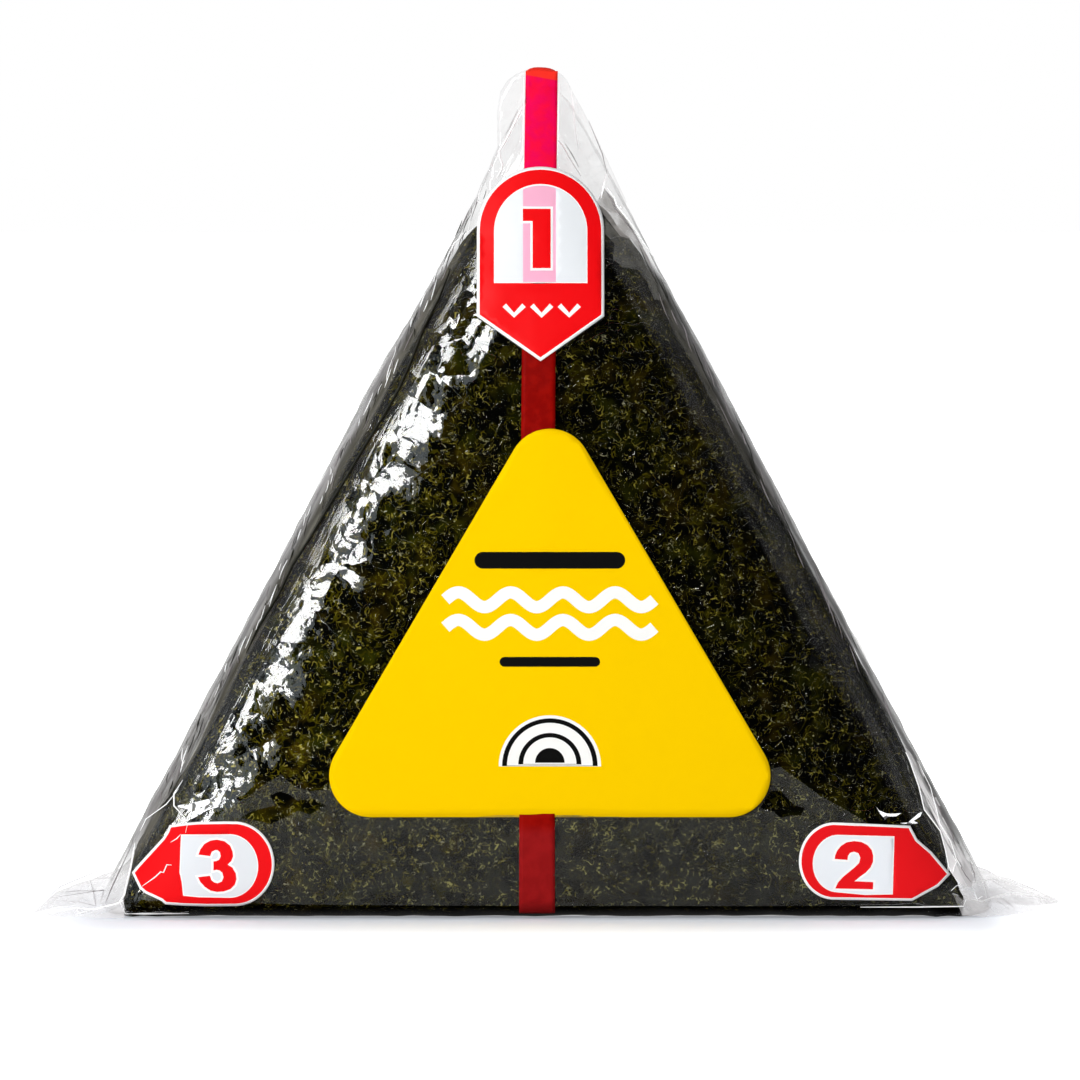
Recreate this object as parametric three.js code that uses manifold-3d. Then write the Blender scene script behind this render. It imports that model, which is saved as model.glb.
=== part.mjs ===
// A wrapped onigiri: a triangular rice ball in seaweed, shut in a clear film bag.
// The bag stands on its flat base, with a flat film tab at the peak, a folded ear
// at each lower corner, a red tear strip over the peak and four stuck labels.
// Millimetres. X runs along the base, -Y is the front, +Z is up, and the origin is
// the middle of the base.

import * as THREE from 'three';
import { mergeVertices } from 'three/addons/utils/BufferGeometryUtils.js';
import Module from 'manifold-3d';

// The bag: a triangle of film with two sloping sides and a flat base.
const BASE_HALF = 46.4; // half the width at which the sloping sides meet the table
const PEAK_Z = 87.4; // height at which the sloping sides would meet
const RING_Z = 10; // height of the point that the outline's rings shrink to
const CORNER_POWER = 18; // how sharp the outline's three corners are

// The bag's thickness, as half depths from its middle plane.
const SIDE_HALF = 9.6; // of the flat sloping side
const ROUND_DEPTH = 4.8; // what the rounded edge adds to it
const CROWN_DEPTH = 1.6; // what the full face adds in the middle
const ROUND_SHARE = 0.22; // share of the ring radius that the rounded edge takes
const TAPER_FROM_Z = 54; // above this the faces lean in to the tab
const TAPER_TO_Z = 86.6;
const TAPER_LOSS = 0.94;
const TAPER_POWER = 1.35;

// The flat tab of film at the peak.
const TAB = { left: -5.0, right: 2.5, rootZ: 66, shoulderZ: 84.8, topZ: 86.7 };
const TAB_TOP_LEFT = -2.6;
const TAB_TOP_RIGHT = 1.0;
const TAB_THICKNESS = 1.2;

// The folded ears at the lower corners: how far they reach, and where they lie.
const EAR_ROOT = 41.5;
const EAR_FLOOR_GAP = 0.05;
const LEFT_EAR = { tip: 52.4, height: 5.0, kneeX: 50.2, kneeHeight: 2.2, halfDepth: 7.5, y: -3.5 };
const RIGHT_EAR = { tip: 52.4, height: 5.2, kneeX: 48.8, kneeHeight: 3.0, halfDepth: 7.5, y: 1.5 };
const EAR_TIP_HEIGHT = 0.5;
const EAR_TIP_HALF_DEPTH = 0.8;

// The tear strip and the labels, stuck on in layers.
const SKIN_THICKNESS = 0.2;
const SKIN_GAP = 0.18;
const STRIP_X = -0.85;
const STRIP_WIDTH = 3.5;
const STRIP_FOOT_Z = 0.45;

// The first label: an arch over a point, near the peak.
const ARCH = { x: -0.62, halfWidth: 6.48, topZ: 76.4, shoulderZ: 61.3, pointZ: 56.8 };
const ARCH_SAG = 0.028; // how far the stiff label bows back, per square millimetre
// The second and third labels: bullets with their points at the lower corners.
const BULLET = { length: 15.0, halfHeight: 4.2, pointLength: 3.9 };
const RIGHT_BULLET = { x: 41.1, z: 5.95, side: 1 };
const LEFT_BULLET = { x: -42.2, z: 5.7, side: -1 };
// The front label: a rounded triangle.
const FRONT = { x: 0.3, halfWidth: 22.8, bottomZ: 9.7, topZ: 49.9, radius: 4.1 };

const POINTS_A_SIDE = 24;
const ARC_STEPS = 5;
const LABEL_STEP = 2.6; // the longest straight edge on a label's outline
const CORNER_STEP = 1.1; // the same where the label wraps a corner of the bag

const FILM = { color: 0x23261a, roughness: 0.15, metalness: 0 };
const TAPE = { color: 0xd2001f, roughness: 0.3, metalness: 0 };
const RED_LABEL = { color: 0xe8121a, roughness: 0.35, metalness: 0 };
const YELLOW_LABEL = { color: 0xffd400, roughness: 0.45, metalness: 0 };

const slopeLength = Math.hypot(BASE_HALF, PEAK_Z);
const slopeX = PEAK_Z / slopeLength;
const slopeZ = BASE_HALF / slopeLength;
const slopeReach = slopeX * BASE_HALF - slopeZ * RING_Z;

// Where a point lies between the rings' centre (0) and the bag's outline (1).
function ringShare(x, z) {
  const rise = slopeZ * (z - RING_Z);
  const right = Math.max(0, (slopeX * x + rise) / slopeReach);
  const left = Math.max(0, (rise - slopeX * x) / slopeReach);
  const base = Math.max(0, 1 - z / RING_Z);
  const sum = right ** CORNER_POWER + left ** CORNER_POWER + base ** CORNER_POWER;
  return sum ** (1 / CORNER_POWER);
}

// How far the faces have leaned in at a height: 1 on the body, near 0 at the tab.
function taper(z) {
  const u = (z - TAPER_FROM_Z) / (TAPER_TO_Z - TAPER_FROM_Z);
  const held = Math.min(1, Math.max(0, u));
  return 1 - TAPER_LOSS * held ** TAPER_POWER;
}

// Half the bag's depth at a point of its face.
function halfDepth(x, z) {
  const share = Math.min(1, ringShare(x, z));
  const inward = Math.min(1, (1 - share) / ROUND_SHARE);
  const rounded = ROUND_DEPTH * Math.sqrt(1 - (1 - inward) ** 2);
  const crown = CROWN_DEPTH * (1 - share ** 2);
  return taper(z) * (SIDE_HALF + rounded + crown);
}

// A closed body from rings of points, with a fan over the first and the last ring.
// The rings turn anticlockwise as seen from outside the first one.
function loftRings(rings) {
  const count = rings[0].length;
  const points = rings.flat();
  const first = middleOf(rings[0]);
  const last = middleOf(rings[rings.length - 1]);
  const index = [];
  for (let r = 0; r + 1 < rings.length; r += 1) {
    for (let i = 0; i < count; i += 1) {
      const j = (i + 1) % count;
      const a = r * count + i;
      const b = r * count + j;
      index.push(a, a + count, b, b, a + count, b + count);
    }
  }
  const firstId = points.length;
  const lastId = firstId + 1;
  const lastRing = (rings.length - 1) * count;
  for (let i = 0; i < count; i += 1) {
    const j = (i + 1) % count;
    index.push(firstId, i, j);
    index.push(lastId, lastRing + j, lastRing + i);
  }
  const geometry = new THREE.BufferGeometry();
  geometry.setFromPoints([...points, first, last]);
  geometry.setIndex(index);
  return geometry;
}

function middleOf(ring) {
  const sum = new THREE.Vector3();
  ring.forEach((p) => sum.add(p));
  return sum.divideScalar(ring.length);
}

// The shares of the ring radius where the bag's face has its rings, from inside out.
function faceShares() {
  const flat = [0.2, 0.42, 0.6, 0.72];
  const rounded = [1, 0.8, 0.58, 0.38, 0.22, 0.1, 0.03, 0].map((t) => 1 - ROUND_SHARE * t);
  return [...flat, ...rounded];
}

// The directions of the outline's points from the rings' centre: one side after
// another, from corner to corner, with the points drawn together near the corners.
function outlineAngles() {
  const corner = Math.atan2(RING_Z, BASE_HALF);
  const corners = [-corner, Math.PI / 2, Math.PI + corner, 2 * Math.PI - corner];
  const angles = [];
  for (let side = 0; side < 3; side += 1) {
    const sweep = corners[side + 1] - corners[side];
    for (let i = 0; i < POINTS_A_SIDE; i += 1) {
      const share = (1 - Math.cos((Math.PI * i) / POINTS_A_SIDE)) / 2;
      angles.push(corners[side] + sweep * share);
    }
  }
  return angles;
}

// The bag's outline at one share of its size, on the front or the back face.
function outlineRing(share, side) {
  return outlineAngles().map((angle) => {
    const dx = Math.cos(angle);
    const dz = Math.sin(angle);
    const reach = share / ringShare(dx, RING_Z + dz);
    const x = reach * dx;
    const z = RING_Z + reach * dz;
    const flatZ = z < EAR_FLOOR_GAP ? 0 : z;
    return new THREE.Vector3(x, side * halfDepth(x, z), flatZ);
  });
}

function bagBody() {
  const shares = faceShares();
  const front = shares.map((share) => outlineRing(share, -1));
  const back = shares.map((share) => outlineRing(share, 1)).reverse();
  return loftRings([...front, ...back]);
}

function tabBody() {
  const rightRoot = BASE_HALF * (1 - TAB.rootZ / PEAK_Z) - 1;
  const shape = new THREE.Shape();
  shape.moveTo(TAB.left, TAB.rootZ);
  shape.lineTo(rightRoot, TAB.rootZ);
  shape.lineTo(TAB.right, TAB.shoulderZ);
  shape.quadraticCurveTo(TAB.right - 0.6, TAB.topZ, TAB_TOP_RIGHT, TAB.topZ);
  shape.lineTo(TAB_TOP_LEFT, TAB.topZ);
  shape.quadraticCurveTo(TAB.left + 0.2, TAB.topZ - 0.4, TAB.left, TAB.shoulderZ);
  const geometry = new THREE.ExtrudeGeometry(shape, {
    depth: TAB_THICKNESS,
    bevelEnabled: false,
    curveSegments: 5,
  });
  geometry.rotateX(Math.PI / 2);
  geometry.translate(0, TAB_THICKNESS / 2, 0);
  return geometry;
}

// A flattened fin of folded film: rings across it, from inside the bag to the tip.
function earBody(ear, side) {
  const stations = [
    [EAR_ROOT, ear.height * 1.1, ear.halfDepth],
    [BASE_HALF - 2, ear.height, ear.halfDepth * 0.85],
    [ear.kneeX, ear.kneeHeight, ear.halfDepth * 0.42],
    [ear.tip, EAR_TIP_HEIGHT, EAR_TIP_HALF_DEPTH],
  ];
  const rings = stations.map(([x, height, depth]) => earRing(side * x, ear.y, height, depth));
  return loftRings(side > 0 ? rings.reverse() : rings);
}

function earRing(x, y, height, depth) {
  const section = [[-1, 0], [0, 0], [1, 0], [0.62, 0.5], [0.1, 1], [-0.1, 1], [-0.62, 0.5]];
  const place = ([across, up]) => {
    return new THREE.Vector3(x, y + across * depth, EAR_FLOOR_GAP + up * height);
  };
  return section.map(place);
}

// The tear strip's half depth at a height: clear of the bag and of the tab.
function stripDepth(z) {
  return Math.max(halfDepth(0, z), TAB_THICKNESS / 2) + SKIN_GAP;
}

// The heights where the strip bends: those of the bag's own rings on its middle line.
function stripHeights() {
  const shares = faceShares();
  const reachUp = 1 / ringShare(0, RING_Z + 1);
  const below = shares.map((share) => RING_Z * (1 - share)).reverse();
  const above = shares.map((share) => RING_Z + share * reachUp);
  return [...below.filter((z) => z > STRIP_FOOT_Z), ...above];
}

// The strip's line up the front, over the tab and down the back, as [y, z].
function stripLine(lift) {
  const rise = stripHeights().map((z) => [-stripDepth(z) - lift, z]);
  const fold = TAB_THICKNESS / 2 + SKIN_GAP + lift;
  const top = TAB.topZ + SKIN_GAP + lift;
  const front = [...rise, [-fold, TAB.topZ], [-0.75 * fold, top]];
  const back = front.map(([y, z]) => [-y, z]).reverse();
  return [...front, [0, top], ...back];
}

function stripBody() {
  const inner = stripLine(0);
  const outer = stripLine(SKIN_THICKNESS);
  const low = STRIP_X - STRIP_WIDTH / 2;
  const high = STRIP_X + STRIP_WIDTH / 2;
  const rings = inner.map(([y, z], i) => [
    new THREE.Vector3(low, y, z),
    new THREE.Vector3(low, outer[i][0], outer[i][1]),
    new THREE.Vector3(high, outer[i][0], outer[i][1]),
    new THREE.Vector3(high, y, z),
  ]);
  return loftRings(rings.reverse());
}

// A shape's outline with its straight edges cut into short steps.
function shortSteps(shape, step) {
  const corners = shape.getPoints(ARC_STEPS).slice(0, -1);
  return corners.flatMap((from, i) => {
    const to = corners[(i + 1) % corners.length];
    const count = Math.max(1, Math.ceil(from.distanceTo(to) / step));
    return Array.from({ length: count }, (_, k) => from.clone().lerp(to, k / count));
  });
}

// A thin label: an outline in the XZ plane, laid on a face given as a half depth.
function labelBody(shape, middle, faceDepth, lift, step = LABEL_STEP) {
  const outline = shortSteps(shape, step);
  const shares = [0.15, 0.4, 0.62, 0.8, 0.92, 1];
  const ringAt = (share, out) => outline.map((p) => {
    const x = middle.x + (p.x - middle.x) * share;
    const z = middle.y + (p.y - middle.y) * share;
    return new THREE.Vector3(x, -(faceDepth(x, z) + lift + out), z);
  });
  const front = shares.map((share) => ringAt(share, SKIN_THICKNESS));
  const back = shares.map((share) => ringAt(share, 0)).reverse();
  return loftRings([...front, ...back]);
}

// The first label is stiff, so it bridges the bag's rounded edges with a gentle bow.
function archDepth(x, z) {
  const bowed = halfDepth(0, z) - ARCH_SAG * (x - STRIP_X) ** 2;
  return Math.max(halfDepth(x, z), bowed);
}

function archShape() {
  const { x, halfWidth, topZ, shoulderZ, pointZ } = ARCH;
  const shape = new THREE.Shape();
  shape.moveTo(x, pointZ);
  shape.lineTo(x + halfWidth, shoulderZ);
  shape.lineTo(x + halfWidth, topZ - halfWidth);
  shape.absarc(x, topZ - halfWidth, halfWidth, 0, Math.PI, false);
  shape.lineTo(x - halfWidth, shoulderZ);
  shape.closePath();
  return shape;
}

// A bullet outline whose point is at the given place and whose round end is inward.
function bulletShape({ x, z, side }) {
  const { length, halfHeight, pointLength } = BULLET;
  const shoulder = x - side * pointLength;
  const round = x - side * (length - halfHeight);
  const shape = new THREE.Shape();
  shape.moveTo(x, z);
  shape.lineTo(shoulder, z + side * halfHeight);
  shape.lineTo(round, z + side * halfHeight);
  const start = side > 0 ? Math.PI / 2 : -Math.PI / 2;
  shape.absarc(round, z, halfHeight, start, start + Math.PI, false);
  shape.lineTo(shoulder, z - side * halfHeight);
  shape.closePath();
  return shape;
}

// A triangle with its three corners rounded to one radius, as arcs joined by edges.
function frontShape() {
  const { x, halfWidth, bottomZ, topZ, radius } = FRONT;
  const baseHalf = halfWidth - radius;
  const rise = topZ - bottomZ - 2 * radius;
  const tilt = Math.atan2(baseHalf, rise);
  const shape = new THREE.Shape();
  shape.absarc(x + baseHalf, bottomZ + radius, radius, -Math.PI / 2, tilt, false);
  shape.absarc(x, topZ - radius, radius, tilt, Math.PI - tilt, false);
  shape.absarc(x - baseHalf, bottomZ + radius, radius, Math.PI - tilt, 1.5 * Math.PI, false);
  shape.closePath();
  return shape;
}

// A bullet label laid straight on the film.
function cornerLabel(bullet) {
  const middle = new THREE.Vector2(bullet.x - (bullet.side * BULLET.length) / 2, bullet.z);
  return labelBody(bulletShape(bullet), middle, halfDepth, SKIN_GAP, CORNER_STEP);
}

const wasm = await Module();
wasm.setup();

function toSolid(geometry) {
  const bare = geometry.clone();
  bare.deleteAttribute('normal');
  bare.deleteAttribute('uv');
  const merged = mergeVertices(bare, 1e-4);
  return new wasm.Manifold(new wasm.Mesh({
    numProp: 3,
    vertProperties: new Float32Array(merged.attributes.position.array),
    triVerts: new Uint32Array(merged.index.array),
  }));
}

function fromSolid(solid) {
  const mesh = solid.getMesh();
  const geometry = new THREE.BufferGeometry();
  const positions = new Float32Array(mesh.vertProperties);
  geometry.setAttribute('position', new THREE.BufferAttribute(positions, 3));
  geometry.setIndex(Array.from(mesh.triVerts));
  return geometry;
}

function fuse(geometries) {
  const solids = geometries.map(toSolid);
  return fromSolid(solids.reduce((sum, solid) => sum.add(solid)));
}

const group = new THREE.Group();

function place(name, geometry, look) {
  const mesh = new THREE.Mesh(geometry, new THREE.MeshStandardMaterial(look));
  mesh.name = name;
  group.add(mesh);
}

const overStrip = 2 * SKIN_GAP + SKIN_THICKNESS;
const archMiddle = new THREE.Vector2(ARCH.x, (ARCH.topZ + ARCH.pointZ) / 2);
const frontMiddle = new THREE.Vector2(FRONT.x, (2 * FRONT.bottomZ + FRONT.topZ) / 3);

const bag = fuse([bagBody(), tabBody(), earBody(LEFT_EAR, -1), earBody(RIGHT_EAR, 1)]);
const archLabel = labelBody(archShape(), archMiddle, archDepth, overStrip);
const frontLabel = labelBody(frontShape(), frontMiddle, halfDepth, overStrip);

place('film_pack', bag, FILM);
place('tear_strip', stripBody(), TAPE);
place('label_one', archLabel, RED_LABEL);
place('label_two', cornerLabel(RIGHT_BULLET), RED_LABEL);
place('label_three', cornerLabel(LEFT_BULLET), RED_LABEL);
place('label_front', frontLabel, YELLOW_LABEL);

export default group;
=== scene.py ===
import math
import random

import bmesh
import bpy
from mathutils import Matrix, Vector, noise
from mathutils.geometry import delaunay_2d_cdt


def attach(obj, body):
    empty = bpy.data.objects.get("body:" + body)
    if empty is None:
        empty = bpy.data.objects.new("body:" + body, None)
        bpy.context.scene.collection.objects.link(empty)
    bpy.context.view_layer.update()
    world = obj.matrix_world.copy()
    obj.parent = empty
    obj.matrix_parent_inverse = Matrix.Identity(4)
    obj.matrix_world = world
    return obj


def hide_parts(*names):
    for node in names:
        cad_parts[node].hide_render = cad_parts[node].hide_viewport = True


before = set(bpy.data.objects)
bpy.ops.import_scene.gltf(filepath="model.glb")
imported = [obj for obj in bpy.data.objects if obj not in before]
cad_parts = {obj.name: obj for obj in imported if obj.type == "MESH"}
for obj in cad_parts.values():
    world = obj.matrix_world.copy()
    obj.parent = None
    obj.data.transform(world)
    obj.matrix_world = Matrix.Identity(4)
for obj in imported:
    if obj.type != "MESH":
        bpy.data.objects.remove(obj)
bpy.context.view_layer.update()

# ---------------------------------------------------------------------------
# The seaweed block: a triangle of rice wrapped in a sheet of pressed seaweed.
# Only the sheet shows: nearly black, matt and felted, with olive shreds and
# curled threads of thinner weed pressed into it. Its colour also carries painted
# glints, painted light on the left and painted shade at its foot. Sizes here are millimetres.
# ---------------------------------------------------------------------------
MM = 0.001
RING_Z = 10  # height of the point that a block's rings shrink to
BLOCK_SPACING = 0.6
TABLE_GAP = 0.02  # a block's lowest points stand this far above the table


class SoftTriangle:
    """A block with a triangular face that rounds over into its three sides."""

    taper_from = 54
    taper_to = 86.6
    taper_loss = 0.94
    taper_power = 1.35

    def __init__(
        self, base_half, peak, side_half, round_depth, crown, round_share, power, top=None, middle=0
    ):
        slope = math.hypot(base_half, peak)
        self.slope_x = peak / slope
        self.slope_z = base_half / slope
        self.reach = self.slope_x * base_half - self.slope_z * RING_Z
        self.side_half = side_half
        self.round_depth = round_depth
        self.crown = crown
        self.round_share = round_share
        self.power = power
        self.top = top
        self.middle = middle

    def ring_share(self, x, z):
        """Where a point lies between the rings' centre, 0, and the outline, 1."""
        x -= self.middle
        rise = self.slope_z * (z - RING_Z)
        walls = [
            (self.slope_x * x + rise) / self.reach,
            (rise - self.slope_x * x) / self.reach,
            1 - z / RING_Z,
        ]
        if self.top:
            walls.append((z - RING_Z) / (self.top - RING_Z))
        return sum(max(0, wall) ** self.power for wall in walls) ** (1 / self.power)

    def taper(self, z):
        """How far the faces have leaned in: 1 on the body, near 0 at the peak."""
        share = (z - self.taper_from) / (self.taper_to - self.taper_from)
        return 1 - self.taper_loss * min(1, max(0, share)) ** self.taper_power

    def half_depth(self, x, z):
        share = min(1, self.ring_share(x, z))
        inward = min(1, (1 - share) / self.round_share)
        rounded = self.round_depth * math.sqrt(1 - (1 - inward) ** 2)
        return self.taper(z) * (self.side_half + rounded + self.crown * (1 - share ** 2))

    def outline_point(self, angle, share):
        dx = math.cos(angle)
        dz = math.sin(angle)
        reach = share / self.ring_share(self.middle + dx, RING_Z + dz)
        return self.middle + reach * dx, max(0, RING_Z + reach * dz)

    def spokes(self, spacing):
        """Angles whose points lie evenly along the outline."""
        fine = [2 * math.pi * i / 4000 for i in range(4001)]
        points = [Vector(self.outline_point(angle, 1)) for angle in fine]
        travelled = [0]
        for before, after in zip(points, points[1:]):
            travelled.append(travelled[-1] + (after - before).length)
        count = round(travelled[-1] / spacing)
        angles = []
        at = 0
        for i in range(count):
            goal = travelled[-1] * i / count
            while travelled[at + 1] < goal:
                at += 1
            angles.append(fine[at])
        return angles

    def rings(self, spacing):
        """The (share, place in the depth) of each ring from front middle to back."""
        flat_count = round((1 - self.round_share) * self.reach / spacing)
        flat = [(i + 1) / flat_count * (1 - self.round_share) for i in range(flat_count)]
        turn_count = round(1.5 * self.round_depth / spacing) + 6
        turns = [math.pi / 2 * (1 - (i + 1) / turn_count) for i in range(turn_count)]
        rounded = [1 - self.round_share * (1 - math.cos(turn)) for turn in turns]
        face = [(share, 1) for share in flat + rounded]
        side_count = round(2 * self.side_half / spacing / 1.5)
        side = [(1, 1 - 2 * (i + 1) / side_count) for i in range(side_count - 1)]
        back = [(share, -place) for share, place in reversed(face)]
        return face + side + back


def soft_block(form, spacing, relief):
    """A closed mesh of a block's rings, moved along its normals by a relief."""
    angles = form.spokes(spacing)
    rings = form.rings(spacing)
    mesh = bmesh.new()
    rows = []
    for share, place in rings:
        row = []
        for angle in angles:
            x, z = form.outline_point(angle, share)
            row.append(mesh.verts.new((x, -place * form.half_depth(x, z), z)))
        rows.append(row)
    count = len(angles)
    for near, far in zip(rows, rows[1:]):
        for i in range(count):
            j = (i + 1) % count
            mesh.faces.new((near[i], near[j], far[j], far[i]))
    for row, side in ((rows[0], -1), (rows[-1], 1)):
        middle = mesh.verts.new((form.middle, side * form.half_depth(form.middle, RING_Z), RING_Z))
        for i in range(count):
            j = (i + 1) % count
            corners = (middle, row[i], row[j]) if side > 0 else (middle, row[j], row[i])
            mesh.faces.new(corners)
    bmesh.ops.recalc_face_normals(mesh, faces=mesh.faces)
    mesh.normal_update()
    moves = [(vert, vert.normal * relief(vert.co)) for vert in mesh.verts]
    for vert, move in moves:
        vert.co += move
        vert.co.z = max(vert.co.z, TABLE_GAP)
    return mesh


def to_piece(name, mesh, materials):
    """Makes an object of a mesh drawn in millimetres."""
    for vert in mesh.verts:
        vert.co *= MM
    data = bpy.data.meshes.new(name)
    mesh.to_mesh(data)
    mesh.free()
    for polygon in data.polygons:
        polygon.use_smooth = True
    for material in materials:
        data.materials.append(material)
    piece = bpy.data.objects.new(name, data)
    bpy.context.scene.collection.objects.link(piece)
    return piece


def put(tree, kind, sockets=None, **settings):
    """Adds a node. A socket takes a plain value or another node's output."""
    node = tree.nodes.new("ShaderNode" + kind)
    for name, value in settings.items():
        setattr(node, name, value)
    for name, value in (sockets or {}).items():
        socket = node.inputs[name]
        if isinstance(value, bpy.types.NodeSocket):
            tree.links.new(value, socket)
        else:
            socket.default_value = value
    return node


def maths(tree, operation, first, second=0.0, third=0.0, clamp=False):
    sockets = {0: first, 1: second, 2: third}
    return put(tree, "Math", sockets, operation=operation, use_clamp=clamp).outputs[0]


def product(tree, value, *factors):
    for factor in factors:
        value = maths(tree, "MULTIPLY", value, factor)
    return value


def scaled(tree, vector, factor):
    return put(tree, "VectorMath", {0: vector, "Scale": factor}, operation="SCALE").outputs[0]


def spread(tree, value, low, high, to_low=0.0, to_high=1.0):
    """Maps a value's range smoothly onto another, held at both ends."""
    sockets = {"Value": value, "From Min": low, "From Max": high, "To Min": to_low, "To Max": to_high}
    return put(tree, "MapRange", sockets, interpolation_type="SMOOTHSTEP").outputs[0]


def blend_colours(tree, share, first, second):
    node = put(tree, "Mix", {0: share, 6: first, 7: second}, data_type="RGBA")
    return node.outputs[2]


def noise_at(tree, place, scale, detail):
    return put(tree, "TexNoise", {"Vector": place, "Scale": scale, "Detail": detail}).outputs[0]


def raised(tree, height, strength=1.0, distance=MM):
    """The normals of a surface that a height in millimetres raises."""
    return put(tree, "Bump", {"Height": height, "Distance": distance, "Strength": strength}).outputs[0]


def new_group(name, inputs, outputs):
    """A shader node group: its tree, the sockets it is given and those it fills."""
    tree = bpy.data.node_groups.new(name, "ShaderNodeTree")
    for label, value in inputs:
        socket = tree.interface.new_socket(label, in_out="INPUT", socket_type="NodeSocketFloat")
        socket.default_value = value
    for label in outputs:
        tree.interface.new_socket(label, in_out="OUTPUT", socket_type="NodeSocketFloat")
    given = tree.nodes.new("NodeGroupInput").outputs
    filled = tree.nodes.new("NodeGroupOutput").inputs
    return tree, given, filled


def use_group(tree, group, **values):
    """Places a group, whose inputs are named with _ for each space."""
    node = tree.nodes.new("ShaderNodeGroup")
    node.node_tree = group
    for name, value in values.items():
        socket = node.inputs[name.replace("_", " ")]
        if isinstance(value, bpy.types.NodeSocket):
            tree.links.new(value, socket)
        else:
            socket.default_value = value
    return node


def new_material(name, roughness, specular):
    """A material with a bare Principled shader of an even finish."""
    material = bpy.data.materials.new(name)
    material.use_nodes = True
    tree = material.node_tree
    shader = tree.nodes["Principled BSDF"]
    shader.inputs["Roughness"].default_value = roughness
    shader.inputs["Specular IOR Level"].default_value = specular
    return material, tree, shader


def millimetres(tree):
    """The point being shaded, in millimetres."""
    return scaled(tree, put(tree, "TexCoord").outputs["Object"], 1 / MM)


def coordinates(tree):
    """The x, y and z of the point being shaded, in millimetres."""
    return put(tree, "SeparateXYZ", {0: millimetres(tree)}).outputs


def warped(tree, place, scale, amount):
    """Bends a place by noise, so that what is drawn there curls."""
    sway = put(tree, "TexNoise", {"Vector": place, "Scale": scale, "Detail": 2.0}).outputs["Color"]
    centred = put(tree, "VectorMath", {0: sway, 1: (0.5, 0.5, 0.5)}, operation="SUBTRACT").outputs[0]
    return put(tree, "VectorMath", {0: place, 1: scaled(tree, centred, amount)}, operation="ADD").outputs[0]


def thread_group():
    """Curled threads: the lines where a noise passes its middle, cut into lengths."""
    inputs = [
        ("Curl Scale", 1.0), ("Curl", 1.0), ("Scale", 1.0), ("Width", 0.02),
        ("Length Scale", 1.0), ("Cut From", 0.5), ("Cut To", 0.6),
    ]
    tree, given, filled = new_group("curled_threads", inputs, ["Threads"])
    place = warped(tree, millimetres(tree), given["Curl Scale"], given["Curl"])
    wave = noise_at(tree, place, given["Scale"], 1.0)
    off_line = maths(tree, "ABSOLUTE", maths(tree, "SUBTRACT", wave, 0.5))
    core = maths(tree, "MULTIPLY", given["Width"], 0.35)
    line = spread(tree, off_line, core, given["Width"], 1.0, 0.0)
    lengths = noise_at(tree, place, given["Length Scale"], 0.0)
    kept = spread(tree, lengths, given["Cut From"], given["Cut To"])
    tree.links.new(maths(tree, "MULTIPLY", line, kept), filled["Threads"])
    return tree


def speck_group():
    """Small round specks, each in a cell of its own, where the cell is a rare one."""
    inputs = [("Scale", 1.0), ("Core", 0.08), ("Edge", 0.16), ("Rare From", 0.7), ("Rare To", 1.0)]
    tree, given, filled = new_group("specks", inputs, ["Specks"])
    cell = put(tree, "TexVoronoi", {"Vector": millimetres(tree), "Scale": given["Scale"]})
    speck = spread(tree, cell.outputs["Distance"], given["Core"], given["Edge"], 1.0, 0.0)
    rarity = put(tree, "SeparateColor", {0: cell.outputs["Color"]}).outputs[0]
    chosen = spread(tree, rarity, given["Rare From"], given["Rare To"])
    tree.links.new(maths(tree, "MULTIPLY", speck, chosen), filled["Specks"])
    return tree


curled_threads = thread_group()
weed_specks_and_glints = speck_group()

SHEET_BLACK = (0.0005, 0.0006, 0.0002, 1)
GREEN_OLIVE = (0.018, 0.0195, 0.0004, 1)
BROWN_OLIVE = (0.031, 0.021, 0.0003, 1)
SHEET_CURL = dict(Curl_Scale=0.45, Curl=2.6)
SOFT_SHREDS = dict(SHEET_CURL, Scale=0.75, Width=0.040, Length_Scale=0.5, Cut_From=0.42, Cut_To=0.60)
FINE_SHREDS = dict(SHEET_CURL, Scale=1.5, Width=0.026, Length_Scale=0.9, Cut_From=0.48, Cut_To=0.60)
GOLD_SHREDS = dict(
    Curl_Scale=0.8, Curl=1.4, Scale=1.2, Width=0.016, Length_Scale=1.3, Cut_From=0.58, Cut_To=0.64
)
# Painted glints: short pale dashes and small pale specks of light on the seaweed.
PAINTED_GLINT_DASHES = dict(
    Curl_Scale=1.1, Curl=1.0, Scale=1.9, Width=0.020, Length_Scale=2.0, Cut_From=0.64, Cut_To=0.69
)
PAINTED_GLINT_SPECKS = dict(Scale=1.4, Core=0.08, Edge=0.16, Rare_From=0.74, Rare_To=1.0)


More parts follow.
